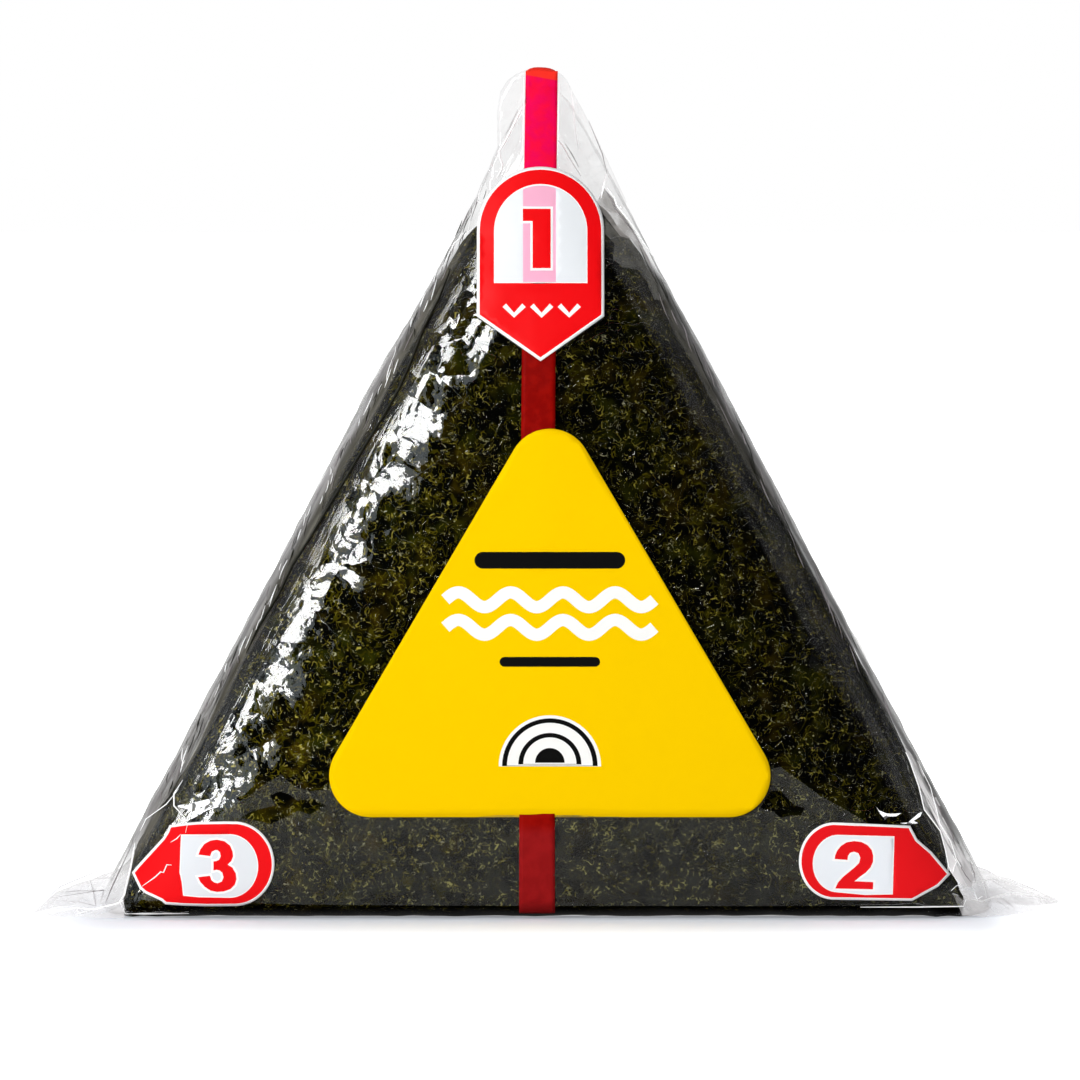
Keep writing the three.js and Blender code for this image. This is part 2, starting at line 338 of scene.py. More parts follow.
def seaweed_material():
    """Seaweed with its shreds and glints, painted lighter on the left as painted light and painted darker at
    its foot as painted shade.
    """
    material, tree, shader = new_material("pressed_seaweed", roughness=0.55, specular=0.0)
    place = millimetres(tree)
    curled = warped(tree, place, SHEET_CURL["Curl_Scale"], SHEET_CURL["Curl"])
    blot = noise_at(tree, curled, 0.42, 3.0)
    hue = noise_at(tree, place, 0.16, 1.0)
    olive = blend_colours(tree, spread(tree, hue, 0.42, 0.58), GREEN_OLIVE, BROWN_OLIVE)
    sheet = blend_colours(tree, spread(tree, blot, 0.46, 0.72), SHEET_BLACK, olive)
    fine = use_group(tree, curled_threads, **FINE_SHREDS).outputs[0]
    # The last two layers, the pale dashes and the specks, are painted glints of light.
    layers = [
        (use_group(tree, curled_threads, **SOFT_SHREDS).outputs[0], (0.036, 0.031, 0.0005, 1)),
        (fine, (0.085, 0.070, 0.0020, 1)),
        (use_group(tree, curled_threads, **GOLD_SHREDS).outputs[0], (0.34, 0.29, 0.045, 1)),
        (use_group(tree, curled_threads, **PAINTED_GLINT_DASHES).outputs[0], (0.36, 0.345, 0.20, 1)),
        (use_group(tree, weed_specks_and_glints, **PAINTED_GLINT_SPECKS).outputs[0], (0.45, 0.42, 0.22, 1)),
    ]
    for mask, colour in layers:
        sheet = blend_colours(tree, mask, sheet, colour)
    x, _, z = coordinates(tree)
    # Painted light and shade: the colour is scaled up on the left and down at the foot.
    light = product(tree, spread(tree, x, -26.0, 6.0, 1.45, 0.60), spread(tree, z, 0.8, 3.4, 0.35, 1.0))
    tree.links.new(scaled(tree, sheet, light), shader.inputs["Base Color"])
    lift = maths(tree, "MULTIPLY_ADD", fine, 0.05, maths(tree, "MULTIPLY", blot, 0.35))
    tree.links.new(raised(tree, lift, strength=0.8), shader.inputs["Normal"])
    return material


seaweed_form = SoftTriangle(
    base_half=45.75, peak=86.0, side_half=8.9, round_depth=4.7, crown=1.6, round_share=0.22, power=14,
    top=75.6, middle=0.1,
)


def seaweed_relief(place):
    """Broad and small dents, pits, and a ragged outline."""
    dent = noise.noise(place * 0.16) * 0.10 + noise.noise(place * 0.55) * 0.10
    near_outline = max(0, seaweed_form.ring_share(place.x, place.z) - 0.9) * 10
    ragged = 0.28 * noise.noise(place * 0.3) * near_outline
    return dent + ragged - 0.16 - 0.05 * abs(noise.noise(place * 1.3))


# How far out the block runs on each side at a height: (height, reach).
LEFT_REACH = [
    (0.4, 42.8), (1.83, 43.2), (3.13, 42.7), (4.89, 42.3), (7.58, 41.85), (8.2, 41.7), (9.53, 40.9),
    (11.04, 39.6), (12.38, 38.3), (13.69, 37.4), (15.98, 36.1), (22.0, 33.35), (28.0, 30.6),
    (60.0, 13.6), (65.9, 10.5), (68.5, 9.1), (69.2, 8.2), (70.2, 7.0), (76.0, 6.0),
]
RIGHT_REACH = [
    (1.35, 42.44), (2.03, 42.5), (3.89, 41.27), (5.51, 40.86), (6.86, 40.6), (8.88, 40.06),
    (11.09, 38.42), (13.37, 37.88), (16.07, 36.94), (20.0, 35.1), (28.0, 30.8),
    (60.0, 13.8), (65.4, 10.4), (67.8, 9.5), (69.0, 8.6), (69.4, 7.6), (71.5, 6.4), (76.0, 5.0),
]


def along(table, at):
    """Reads a table of (place, value) at a place, straight between its rows."""
    if at <= table[0][0]:
        return table[0][1]
    for (low, low_value), (high, high_value) in zip(table, table[1:]):
        if at <= high:
            return low_value + (high_value - low_value) * (at - low) / (high - low)
    return table[-1][1]


seaweed_mesh = soft_block(seaweed_form, BLOCK_SPACING, seaweed_relief)
for vert in seaweed_mesh.verts:
    height = vert.co.z
    vert.co.x = min(along(RIGHT_REACH, height), max(-along(LEFT_REACH, height), vert.co.x))
seaweed = to_piece("seaweed_block", seaweed_mesh, [seaweed_material()])
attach(seaweed, "root")
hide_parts("film_pack")

# ---------------------------------------------------------------------------
# The bag: one thin clear film drawn tight over the block and folded at the
# sloping sides, so that it is smooth on the face, crumpled where it turns the
# edge, and creased along the sides.
# ---------------------------------------------------------------------------
BAG_HALF = 46.4
bag_form = SoftTriangle(
    base_half=BAG_HALF, peak=87.4, side_half=9.6, round_depth=4.8, crown=1.6, round_share=0.22, power=18
)


def edge_reach(x, z):
    """How far out a point lies, measured square to the sloping sides."""
    return bag_form.slope_x * abs(x) + bag_form.slope_z * z


EDGE_REACH = edge_reach(BAG_HALF, 0)
SMOOTH_TO = 30.5
CRUMPLED_FROM = 38.0
PUCKERED_FROM = EDGE_REACH - 13
PUCKERED_WIDTH = 8


def bag_relief(place):
    """Shallow puckers and dents on the face, and pleats along the sloping sides."""
    across = edge_reach(place.x, place.z)
    lengthwise = place.z * bag_form.slope_x - abs(place.x) * bag_form.slope_z
    near_edge = min(1, max(0, (across - PUCKERED_FROM) / PUCKERED_WIDTH))
    pucker = noise.noise(place * 0.22) * 0.10
    knead = noise.noise(place * 0.55) * (0.05 + 0.08 * near_edge)
    pleat = noise.noise(Vector((across * 0.7, place.y * 0.45, lengthwise * 0.12))) * 0.25 * near_edge ** 3
    return pucker + knead + pleat


def crinkle_group():
    """Creases in film: flat facets that meet at sharp folds, ridges and fine puckers."""
    inputs = [("Facet Height", 0.1), ("Ridge Height", 0.1), ("Pucker Height", 0.02), ("Scale", 1.0)]
    tree, given, filled = new_group("film_crinkle", inputs, ["Height"])
    place = scaled(tree, millimetres(tree), given["Scale"])
    bent = warped(tree, place, 0.35, 1.6)
    total = 0.0
    for cell_scale, share in ((0.33, 1.0), (0.75, 0.38)):
        shrunk = scaled(tree, bent, cell_scale)
        cell = put(tree, "TexVoronoi", {"Vector": shrunk, "Scale": 1.0})
        off = put(tree, "VectorMath", {0: shrunk, 1: cell.outputs["Position"]}, operation="SUBTRACT")
        lean = put(tree, "VectorMath", {0: cell.outputs["Color"], 1: (0.5, 0.5, 0.5)}, operation="SUBTRACT")
        rise = put(tree, "VectorMath", {0: off.outputs[0], 1: lean.outputs[0]}, operation="DOT_PRODUCT")
        rise = maths(tree, "MULTIPLY", rise.outputs["Value"], share / cell_scale)
        total = maths(tree, "MULTIPLY_ADD", rise, given["Facet Height"], total)
    ridge = maths(tree, "ABSOLUTE", maths(tree, "SUBTRACT", noise_at(tree, bent, 0.55, 1.0), 0.5))
    total = maths(tree, "MULTIPLY_ADD", ridge, given["Ridge Height"], total)
    pucker = noise_at(tree, place, 1.5, 2.0)
    total = maths(tree, "MULTIPLY_ADD", pucker, given["Pucker Height"], total)
    tree.links.new(total, filled["Height"])
    return tree


film_crinkle = crinkle_group()


def edge_group():
    """How near the sloping edges a point of the bag lies, and the streaks along them.

    From the face outwards come Edge, crumpled, Turn, where the film rounds the side, Rim,
    where it stands off the block, and Outermost. The right-hand rim is the narrower one."""
    labels = ["Edge", "Rim", "Outermost", "Turn", "Streak", "Painted Side Light"]
    tree, _, filled = new_group("bag_edges", [], labels)
    side, y, z = coordinates(tree)
    x = maths(tree, "ABSOLUTE", side)
    narrower = product(tree, spread(tree, side, -1.0, 1.0, 0.0, 0.8), spread(tree, z, 39.0, 46.0, 1.0, 0.15))
    out = maths(tree, "MULTIPLY_ADD", z, bag_form.slope_z, maths(tree, "MULTIPLY", x, bag_form.slope_x))
    up = maths(tree, "MULTIPLY_ADD", x, -bag_form.slope_z, maths(tree, "MULTIPLY", z, bag_form.slope_x))
    wander = maths(tree, "MULTIPLY_ADD", noise_at(tree, millimetres(tree), 0.14, 2.0), 6.0, -3.0)
    wandered = maths(tree, "ADD", out, wander)
    edge = put(tree, "MapRange", {0: wandered, 1: SMOOTH_TO, 2: CRUMPLED_FROM})
    tree.links.new(edge.outputs[0], filled["Edge"])
    unsteady = maths(tree, "MULTIPLY_ADD", wander, 0.16, out)
    inner = maths(tree, "SUBTRACT", unsteady, narrower)
    tree.links.new(spread(tree, inner, EDGE_REACH - 1.75, EDGE_REACH - 1.25), filled["Rim"])
    tree.links.new(spread(tree, unsteady, EDGE_REACH - 1.2, EDGE_REACH - 0.2), filled["Outermost"])
    tree.links.new(spread(tree, unsteady, EDGE_REACH - 4.3, EDGE_REACH - 2.6), filled["Turn"])
    lengthwise = put(tree, "CombineXYZ", {
        0: maths(tree, "MULTIPLY", out, 1.6),
        1: maths(tree, "MULTIPLY", y, 0.8),
        2: maths(tree, "MULTIPLY", up, 0.16),
    })
    tree.links.new(noise_at(tree, lengthwise.outputs[0], 1.0, 2.0), filled["Streak"])
    # Painted shade: a factor that darkens the rim's grey toward the right.
    tree.links.new(spread(tree, side, -1.0, 1.0, 1.0, 0.65), filled["Painted Side Light"])
    return tree


bag_edges = edge_group()
FILM_INDEX = 1.5
FILM_ROUGHNESS = 0.065


def film_gloss(tree, shader, normal, haze, layers, tint):
    """Sets a shader to clear film: what it mirrors and its haze are seen, the rest is clear."""
    backface = put(tree, "NewGeometry").outputs["Backfacing"]
    index = maths(tree, "MULTIPLY_ADD", backface, 1 / FILM_INDEX - FILM_INDEX, FILM_INDEX)
    mirror = put(tree, "Fresnel", {"IOR": index, "Normal": normal}).outputs[0]
    mirror = maths(tree, "MULTIPLY", mirror, layers, clamp=True)
    open_share = maths(tree, "SUBTRACT", 1.0, haze)
    seen = maths(tree, "MULTIPLY_ADD", mirror, open_share, haze, clamp=True)
    metal = maths(tree, "DIVIDE", mirror, seen, clamp=True)
    colour = blend_colours(tree, metal, tint, (1, 1, 1, 1))
    tree.links.new(colour, shader.inputs["Base Color"])
    tree.links.new(seen, shader.inputs["Alpha"])
    tree.links.new(metal, shader.inputs["Metallic"])
    tree.links.new(normal, shader.inputs["Normal"])


INNER_GREYS = ((0.052, 0.048, 0.033, 1), (0.142, 0.133, 0.108, 1))
OUTER_GREYS = ((0.14, 0.135, 0.133, 1), (0.32, 0.305, 0.305, 1))
CLEAREST_HAZE = 0.0003


def bag_material():
    """Clear film, crumpled toward the sloping edges and greyish where it stands off the block."""
    material, tree, shader = new_material("bag_film", roughness=FILM_ROUGHNESS, specular=0.0)
    edges = use_group(tree, bag_edges).outputs
    turn = edges["Turn"]
    _, y, z = coordinates(tree)
    crumple = product(
        tree,
        maths(tree, "MULTIPLY_ADD", edges["Edge"], 0.94, 0.06),
        maths(tree, "MULTIPLY_ADD", turn, -0.8, 1.0),
        spread(tree, z, 8.0, 12.0, 0.12, 1.0),
        spread(tree, z, 62.0, 72.0, 1.0, 0.35),
    )
    crinkle = use_group(
        tree, film_crinkle,
        Facet_Height=maths(tree, "MULTIPLY", crumple, 0.34),
        Ridge_Height=maths(tree, "MULTIPLY", crumple, 0.25),
        Pucker_Height=maths(tree, "MULTIPLY", crumple, 0.035),
        Scale=1.0,
    )
    pleats = product(tree, edges["Streak"], turn, 0.2)
    normal = raised(tree, maths(tree, "ADD", crinkle.outputs["Height"], pleats))
    streak = spread(tree, edges["Streak"], 0.35, 0.65)
    rounding = spread(tree, maths(tree, "ABSOLUTE", y), 7.6, 9.4)
    rim_haze = maths(tree, "MULTIPLY", edges["Rim"], maths(tree, "MULTIPLY_ADD", rounding, 0.65, 0.17))
    turn_haze = maths(tree, "MULTIPLY", turn, maths(tree, "MULTIPLY_ADD", streak, 0.06, 0.01))
    haze = maths(tree, "MAXIMUM", rim_haze, turn_haze)
    haze = maths(tree, "MULTIPLY", haze, spread(tree, z, 66.0, 75.0, 1.0, 0.05))
    haze = maths(tree, "MULTIPLY_ADD", haze, spread(tree, z, 2.0, 11.0, 0.12, 1.0), CLEAREST_HAZE)
    inner_grey = blend_colours(tree, streak, *INNER_GREYS)
    outer_grey = blend_colours(tree, streak, *OUTER_GREYS)
    grey = blend_colours(tree, edges["Outermost"], inner_grey, outer_grey)
    # Painted shade: the grey of the rim is darkened toward the right.
    grey = scaled(tree, grey, edges["Painted Side Light"])
    rim_layers = maths(tree, "MULTIPLY_ADD", edges["Rim"], spread(tree, z, 1.5, 5.0, -1.95, -1.5), 2.0)
    turn_layers = maths(tree, "MULTIPLY_ADD", turn, spread(tree, z, 18.0, 30.0, -0.2, -1.15), 2.0)
    film_gloss(tree, shader, normal, haze, maths(tree, "MINIMUM", rim_layers, turn_layers), grey)
    return material


TUCK = [(56.0, 0.0), (62.0, 0.4), (68.0, 0.55), (73.0, 0.5), (78.0, 0.0)]  # (height, how far in)
bag_mesh = soft_block(bag_form, BLOCK_SPACING, bag_relief)
for vert in bag_mesh.verts:
    vert.co.x += along(TUCK, vert.co.z) * min(1, max(0, -vert.co.x / 6))
bag = to_piece("film_bag", bag_mesh, [bag_material()])
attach(bag, "root")
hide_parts("film_pack")

# ---------------------------------------------------------------------------
# The bag's ends, where the film holds nothing and lies flat and creased: a welded
# tab stands at the peak, an ear runs out on the table at each lower corner, and
# a flap is lapped up over the lower front. Folded film is paler along its folds, and
# the bright fold beads are painted highlights that glow; the grey and dark ones are painted shade.
# ---------------------------------------------------------------------------
def inset(outline, distance):
    """An outline moved inwards by a distance, with square corners."""
    moved = []
    count = len(outline)
    for i, (x, z) in enumerate(outline):
        before = Vector(outline[i - 1])
        after = Vector(outline[(i + 1) % count])
        here = Vector((x, z))
        one = (here - before).normalized()
        two = (after - here).normalized()
        square_one = Vector((-one.y, one.x))
        square_two = Vector((-two.y, two.x))
        mitre = square_one + square_two
        mitre *= distance / max(0.3, mitre.dot(square_one))
        moved.append(tuple(here + mitre))
    return moved


def is_inside(outline, x, z):
    """Whether a point lies inside an outline."""
    inside = False
    for (x1, z1), (x2, z2) in zip(outline, outline[1:] + outline[:1]):
        if (z1 > z) != (z2 > z) and x < (x2 - x1) * (z - z1) / (z2 - z1) + x1:
            inside = not inside
    return inside


def turned_left(outline):
    """The outline in the order that turns left, whichever way it was drawn."""
    area = sum(x1 * z2 - x2 * z1 for (x1, z1), (x2, z2) in zip(outline, outline[1:] + outline[:1]))
    return outline if area > 0 else outline[::-1]


def cut_sheet(fields, step):
    """Cuts a flat sheet along the outlines of its fields, the first being its own.

    Gives the points, the triangles, and for each triangle the last field over it."""
    points = []
    loops = []
    for outline in fields:
        loop = turned_left(outline)
        loops.append(list(range(len(points), len(points) + len(loop))))
        points += [Vector(point) for point in loop]
    own = turned_left(fields[0])
    shrunk = inset(own, 0.35 * step)
    low_x = min(x for x, z in own)
    high_x = max(x for x, z in own)
    low_z = min(z for x, z in own)
    high_z = max(z for x, z in own)
    for i in range(int((high_x - low_x) / step) + 2):
        for k in range(int((high_z - low_z) / step) + 2):
            x = low_x + (i + 0.5 * (k % 2)) * step
            z = low_z + (k + 0.3) * step
            if is_inside(shrunk, x, z):
                points.append(Vector((x, z)))
    result = delaunay_2d_cdt(points, [], loops, 1, 1e-4)
    return result[0], result[2], [max(owners) for owners in result[5]]


def printed_sheet(fields, step, depth):
    """A printed sheet bent to a face, with one material slot for each field's ink."""
    points, triangles, owners = cut_sheet([outline for outline, ink in fields], step)
    mesh = bmesh.new()
    verts = [mesh.verts.new((p.x, -depth(p.x, p.y), p.y)) for p in points]
    for triangle, owner in zip(triangles, owners):
        face = mesh.faces.new([verts[i] for i in triangle])
        face.material_index = fields[owner][1]
    bmesh.ops.recalc_face_normals(mesh, faces=mesh.faces)
    if sum(face.normal.y * face.calc_area() for face in mesh.faces) > 0:
        bmesh.ops.reverse_faces(mesh, faces=mesh.faces)
    return mesh


def thicken(piece, thickness):
    """Gives a sheet its thickness, inwards from the face that is drawn."""
    solid = piece.modifiers.new("thickness", "SOLIDIFY")
    solid.thickness = thickness * MM
    solid.offset = -1
    bpy.context.view_layer.objects.active = piece
    bpy.ops.object.modifier_apply(modifier=solid.name)


TOUCHING_SHREDS = dict(
    Curl_Scale=0.9, Curl=1.3, Scale=1.3, Width=0.024, Length_Scale=1.2, Cut_From=0.50, Cut_To=0.60
)
TOUCHING_SPECKS = dict(Scale=0.9, Core=0.07, Edge=0.15, Rare_From=0.66, Rare_To=0.9)
TOUCHING_HAZE = 0.5


def slack_film(name, haze, tint, layers=1.0, crumple=1.0, glow=0.0, shred_tint=None):
    """Film that hangs free, creased all over and milky within a range of haze.

    Glow is painted light, for light let through it. A shred tint shows the seaweed's shreds that touch it."""
    material, tree, shader = new_material(name, FILM_ROUGHNESS, specular=0.0)
    crinkle = use_group(
        tree, film_crinkle,
        Facet_Height=0.22 * crumple, Ridge_Height=0.2 * crumple, Pucker_Height=0.04 * crumple, Scale=0.9,
    )
    milk = noise_at(tree, warped(tree, millimetres(tree), 0.4, 3.0), 0.45, 1.5)
    milky = spread(tree, milk, 0.35, 0.65, *haze)
    shader.inputs["Emission Color"].default_value = tint
    shader.inputs["Emission Strength"].default_value = glow
    if shred_tint:
        shreds = use_group(tree, curled_threads, **TOUCHING_SHREDS).outputs[0]
        specks = use_group(tree, weed_specks_and_glints, **TOUCHING_SPECKS).outputs[0]
        touching = maths(tree, "MAXIMUM", shreds, specks)
        milky = maths(tree, "MULTIPLY_ADD", touching, TOUCHING_HAZE, milky, clamp=True)
        tint = blend_colours(tree, touching, tint, shred_tint)
    film_gloss(tree, shader, raised(tree, crinkle.outputs["Height"]), milky, layers, tint)
    return material


TAB_GAP = 0.5
tab_outline = [
    (-5.6, 71.5), (-6.3, 75.0), (-5.05, 77.6), (-5.03, 81.9), (-4.7, 84.0), (-4.0, 85.05),
    (-3.15, 85.7), (-2.2, 86.1), (-0.9, 86.3), (0.2, 86.3), (1.2, 85.85), (1.65, 85.6),
    (2.15, 85.0), (2.6, 84.0), (3.5, 82.35), (4.95, 79.5), (6.25, 76.8), (8.2, 72.6), (7.6, 71.5),
]


def tab_depth(x, z):
    return TAB_GAP / 2 + 0.35 * noise.noise(Vector((x, 0, z)) * 0.35)


tab = to_piece(
    "film_tab",
    printed_sheet([(tab_outline, 0)], 0.7, tab_depth),
    [slack_film("tab_film", (0.02, 0.06), (0.7, 0.65, 0.665, 1), layers=0.9, crumple=0.35)],
)
thicken(tab, TAB_GAP)


def creased_film(rows, cuts, rumple):
    """A sheet of facets between rows of points, cut finer and a little rumpled."""
    mesh = bmesh.new()
    lines = [[mesh.verts.new(point) for point in row] for row in rows]
    for near, far in zip(lines, lines[1:]):
        for i in range(len(near) - 1):
            mesh.faces.new((near[i], near[i + 1], far[i + 1], far[i]))
    bmesh.ops.subdivide_edges(mesh, edges=mesh.edges, cuts=cuts, use_grid_fill=True)
    for vert in mesh.verts:
        vert.co += rumple * noise.noise_vector(vert.co * 0.7)
        vert.co.z = max(vert.co.z, 0.03)
    return mesh


# Each ear's rows run from the bag out to the tip: its front edge on the table,
# its folds, its upper outline, and its back edge.
LEFT_RIDGE = [
    (-43.1, -12.0, 1.75), (-43.9, -11.0, 1.34), (-46.1, -9.0, 0.65),
    (-47.9, -8.5, 0.73), (-50.2, -7.5, 0.42), (-52.4, -6.6, 0.12),
]
left_ear_rows = [
    [(-42.9, -13.5, 0.05), (-43.9, -13.8, 0.05), (-46.0, -13.2, 0.05),
     (-48.5, -12.0, 0.05), (-50.8, -9.8, 0.05), (-52.3, -7.5, 0.05)],
    LEFT_RIDGE,
    [(-42.6, -4.0, 4.6), (-44.4, -3.0, 2.9), (-46.4, -2.0, 2.1),
     (-48.3, -2.5, 1.6), (-50.3, -3.5, 1.1), (-52.4, -6.3, 0.2)],
    [(-42.6, 3.0, 5.2), (-43.9, 3.5, 4.0), (-46.2, 3.3, 3.2),
     (-48.4, 2.6, 2.45), (-50.4, 1.0, 1.75), (-52.4, -5.8, 0.25)],
    [(-43.0, 8.5, 0.05), (-44.5, 8.0, 0.05), (-46.8, 7.0, 0.05),
     (-48.8, 5.5, 0.05), (-50.5, 3.0, 0.05), (-52.3, -5.3, 0.05)],
]
RIGHT_FOLD = [
    (41.3, -13.0, 2.5), (44.4, -8.0, 1.35), (45.65, -7.0, 1.74),
    (47.5, -6.0, 2.13), (50.1, -4.0, 1.6), (52.4, -1.9, 0.9),
]
RIGHT_RIDGE = [
    (42.05, -8.0, 2.58), (43.6, -5.0, 3.02), (45.8, -3.0, 3.36),
    (48.0, -2.0, 2.75), (50.4, -1.5, 1.85), (52.45, -1.4, 1.0),
]
right_ear_rows = [
    [(42.3, -13.2, 0.4), (44.7, -12.0, 0.1), (47.0, -9.5, 0.1),
     (49.0, -7.0, 0.15), (51.0, -4.5, 0.3), (52.4, -2.2, 0.6)],
    RIGHT_FOLD,
    RIGHT_RIDGE,
    [(42.7, 2.0, 5.6), (43.7, 3.0, 4.5), (45.8, 4.0, 3.6),
     (47.95, 4.0, 2.78), (50.8, 2.0, 1.72), (52.45, -0.8, 1.05)],
    [(43.0, 9.0, 0.05), (44.5, 9.0, 0.05), (46.5, 8.0, 0.05),
     (48.5, 6.0, 0.05), (50.8, 3.0, 0.2), (52.45, -0.5, 0.7)],
]
EAR_CUTS = 3
EAR_RUMPLE = 0.12
# Each ear's glow is painted light, for light let through the film.
left_ear = to_piece(
    "film_ear_left",
    creased_film(left_ear_rows, EAR_CUTS, EAR_RUMPLE),
    [slack_film("left_ear_film", (0.26, 0.46), (0.80, 0.775, 0.79, 1), crumple=0.2, glow=0.285)],
)
right_ear = to_piece(
    "film_ear_right",
    creased_film(right_ear_rows, EAR_CUTS, EAR_RUMPLE),
    [slack_film("right_ear_film", (0.30, 0.50), (0.80, 0.775, 0.785, 1), crumple=0.2, glow=0.31)],
)

# A flap lapped up over the lower front, with two bare windows in it, two kneaded
# patches beside the peak, and a pleat low on each side. All of them lie on the bag.
flap_outline = [
    (-40.5, 1.9), (-34.17, 10.11), (-32.72, 11.11), (-31.06, 12.15), (-30.23, 12.57), (-28.98, 13.61),
    (-26.91, 14.84), (-26.54, 14.34), (-25.56, 13.62), (-24.0, 13.11), (-21.4, 13.4), (-5.0, 14.6),
    (10.0, 15.0), (22.12, 15.19), (23.78, 15.62), (24.82, 14.76), (26.06, 13.93), (27.72, 12.68),
    (30.0, 11.43), (32.39, 10.02), (39.4, 3.3), (41.1, 3.8), (42.3, 2.0), (42.1, 1.3), (20.0, 1.35),
    (-10.0, 1.4), (-24.0, 1.5),
]
flap_windows = [
    [(-31.06, 10.39), (-30.02, 11.02), (-28.57, 11.38), (-27.53, 11.65), (-28.05, 12.68),
     (-27.11, 13.1), (-26.08, 12.74), (-25.35, 12.17), (-23.59, 12.28), (-22.45, 11.66),
     (-24.0, 10.72), (-25.25, 11.14), (-26.39, 10.51), (-27.94, 9.78), (-29.4, 10.09)],
    [(21.71, 11.46), (22.74, 13.11), (23.78, 13.13), (24.35, 12.48), (25.23, 11.65), (26.17, 11.39),
     (25.86, 10.67), (24.61, 10.62), (23.78, 10.41), (23.06, 11.04), (22.12, 11.25)],
]
shoulder_outline = [
    (5.9, 74.1), (6.9, 73.0), (7.86, 71.5), (9.2, 69.3), (10.3, 67.2), (10.75, 65.8), (10.0, 67.1),
    (9.5, 67.8), (8.6, 69.0), (7.5, 69.3), (5.8, 71.5), (5.0, 72.6),
]
veil_outline = [
    (5.9, 71.2), (7.5, 69.3), (8.6, 69.0), (9.8, 67.2), (10.8, 65.6), (12.2, 62.8), (10.95, 62.9),
    (10.2, 64.7), (9.25, 65.9), (7.8, 66.2), (6.75, 67.0), (6.9, 68.6), (5.9, 69.6),
]
left_pleat_outline = [
    (-30.6, 28.5), (-32.2, 25.1), (-33.75, 21.9), (-34.9, 19.2), (-36.5, 16.0), (-37.7, 13.7),
    (-38.4, 12.4), (-39.6, 11.0), (-41.1, 9.3), (-40.6, 10.6), (-38.15, 15.2), (-34.6, 21.9),
    (-31.15, 28.4),
]
right_pleat_outline = [
    (36.3, 17.6), (36.94, 16.07), (37.88, 13.37), (38.42, 11.09), (40.06, 8.88), (40.6, 6.86),
    (40.86, 5.51), (41.3, 4.4), (42.3, 3.4), (43.2, 3.1), (43.5, 4.0), (42.9, 5.7), (42.3, 7.0),
    (41.3, 9.1), (40.1, 11.4), (38.9, 13.7), (37.75, 15.95),
]
SHEET_LIFT = 0.2


def over_bag(x, z):
    return bag_form.half_depth(x, z) + SHEET_LIFT + 0.06 * noise.noise(Vector((x, z, 0)) * 0.3)


flap_mesh = printed_sheet([(flap_outline, 0)] + [(window, 1) for window in flap_windows], 1.0, over_bag)
in_windows = [face for face in flap_mesh.faces if face.material_index]
bmesh.ops.delete(flap_mesh, geom=in_windows, context="FACES")
flap_film = slack_film(
    "flap_film", (0.10, 0.50), (0.025, 0.026, 0.018, 1), layers=0.6, crumple=0.14,
    shred_tint=(0.205, 0.195, 0.058, 1),
)
flap = to_piece("film_flap", flap_mesh, [flap_film])
shoulder = to_piece(
    "film_shoulder",
    printed_sheet([(shoulder_outline, 0)], 0.6, over_bag),
    [slack_film("shoulder_film", (0.45, 0.85), (0.34, 0.32, 0.30, 1), crumple=0.8)],
)
veil = to_piece(
    "film_veil",
    printed_sheet([(veil_outline, 0)], 0.6, over_bag),
    [slack_film("veil_film", (0.22, 0.55), (0.14, 0.135, 0.115, 1), crumple=0.5)],
)


def pleat_film():
    """Film folded over itself along the bag's edge: nearly opaque, streaked along the folds, and paler on
    the right, where it glows with painted light.
    """
    material, tree, shader = new_material("pleat_film", FILM_ROUGHNESS, specular=0.0)
    x, _, z = coordinates(tree)
    right = spread(tree, x, -1.0, 1.0)
    streak = spread(tree, use_group(tree, bag_edges).outputs["Streak"], 0.38, 0.60)
    streak = maths(tree, "ADD", streak, spread(tree, z, 4.0, 9.0, 0.8, 0.0), clamp=True)
    dark = blend_colours(tree, right, (0.09, 0.086, 0.078, 1), (0.05, 0.046, 0.042, 1))
    pale = blend_colours(tree, right, (0.22, 0.21, 0.20, 1), (0.80, 0.77, 0.78, 1))
    tint = blend_colours(tree, streak, dark, pale)
    film_gloss(tree, shader, raised(tree, streak, distance=0.3 * MM), haze=0.85, layers=0.8, tint=tint)
    # Painted light: the right-hand pleat glows in its own tint.
    tree.links.new(tint, shader.inputs["Emission Color"])
    tree.links.new(maths(tree, "MULTIPLY", right, 0.15), shader.inputs["Emission Strength"])
    return material


pleats = [
    to_piece(name, printed_sheet([(outline, 0)], 0.6, over_bag), [pleat_film()])
    for name, outline in (("film_pleat_left", left_pleat_outline), ("film_pleat_right", right_pleat_outline))
]


BEAD_TURNS = [math.radians(angle) for angle in (-90, 30, 150)]
BEAD_END = 0.4  # a bead's girth at its ends, as a share of that between them


def bead(mesh, points, girth, ink):
    """A three-sided bead of folded film along a line, fine at both ends."""
    last = len(points) - 1
    rows = []
    for i, point in enumerate(points):
        ahead = (Vector(points[min(i + 1, last)]) - Vector(points[max(i - 1, 0)])).normalized()
        side = ahead.cross(Vector((0, 1, 0))).normalized()
        out = side.cross(ahead)
        width = girth * (BEAD_END if i in (0, last) else 1)
        rows.append([
            mesh.verts.new(Vector(point) + width * (math.cos(turn) * side + math.sin(turn) * out))
            for turn in BEAD_TURNS
        ])
    for near, far in zip(rows, rows[1:]):
        for i in range(3):
            j = (i + 1) % 3
            mesh.faces.new((near[i], near[j], far[j], far[i])).material_index = ink
    for row in (rows[0][::-1], rows[-1]):
        mesh.faces.new(row).material_index = ink


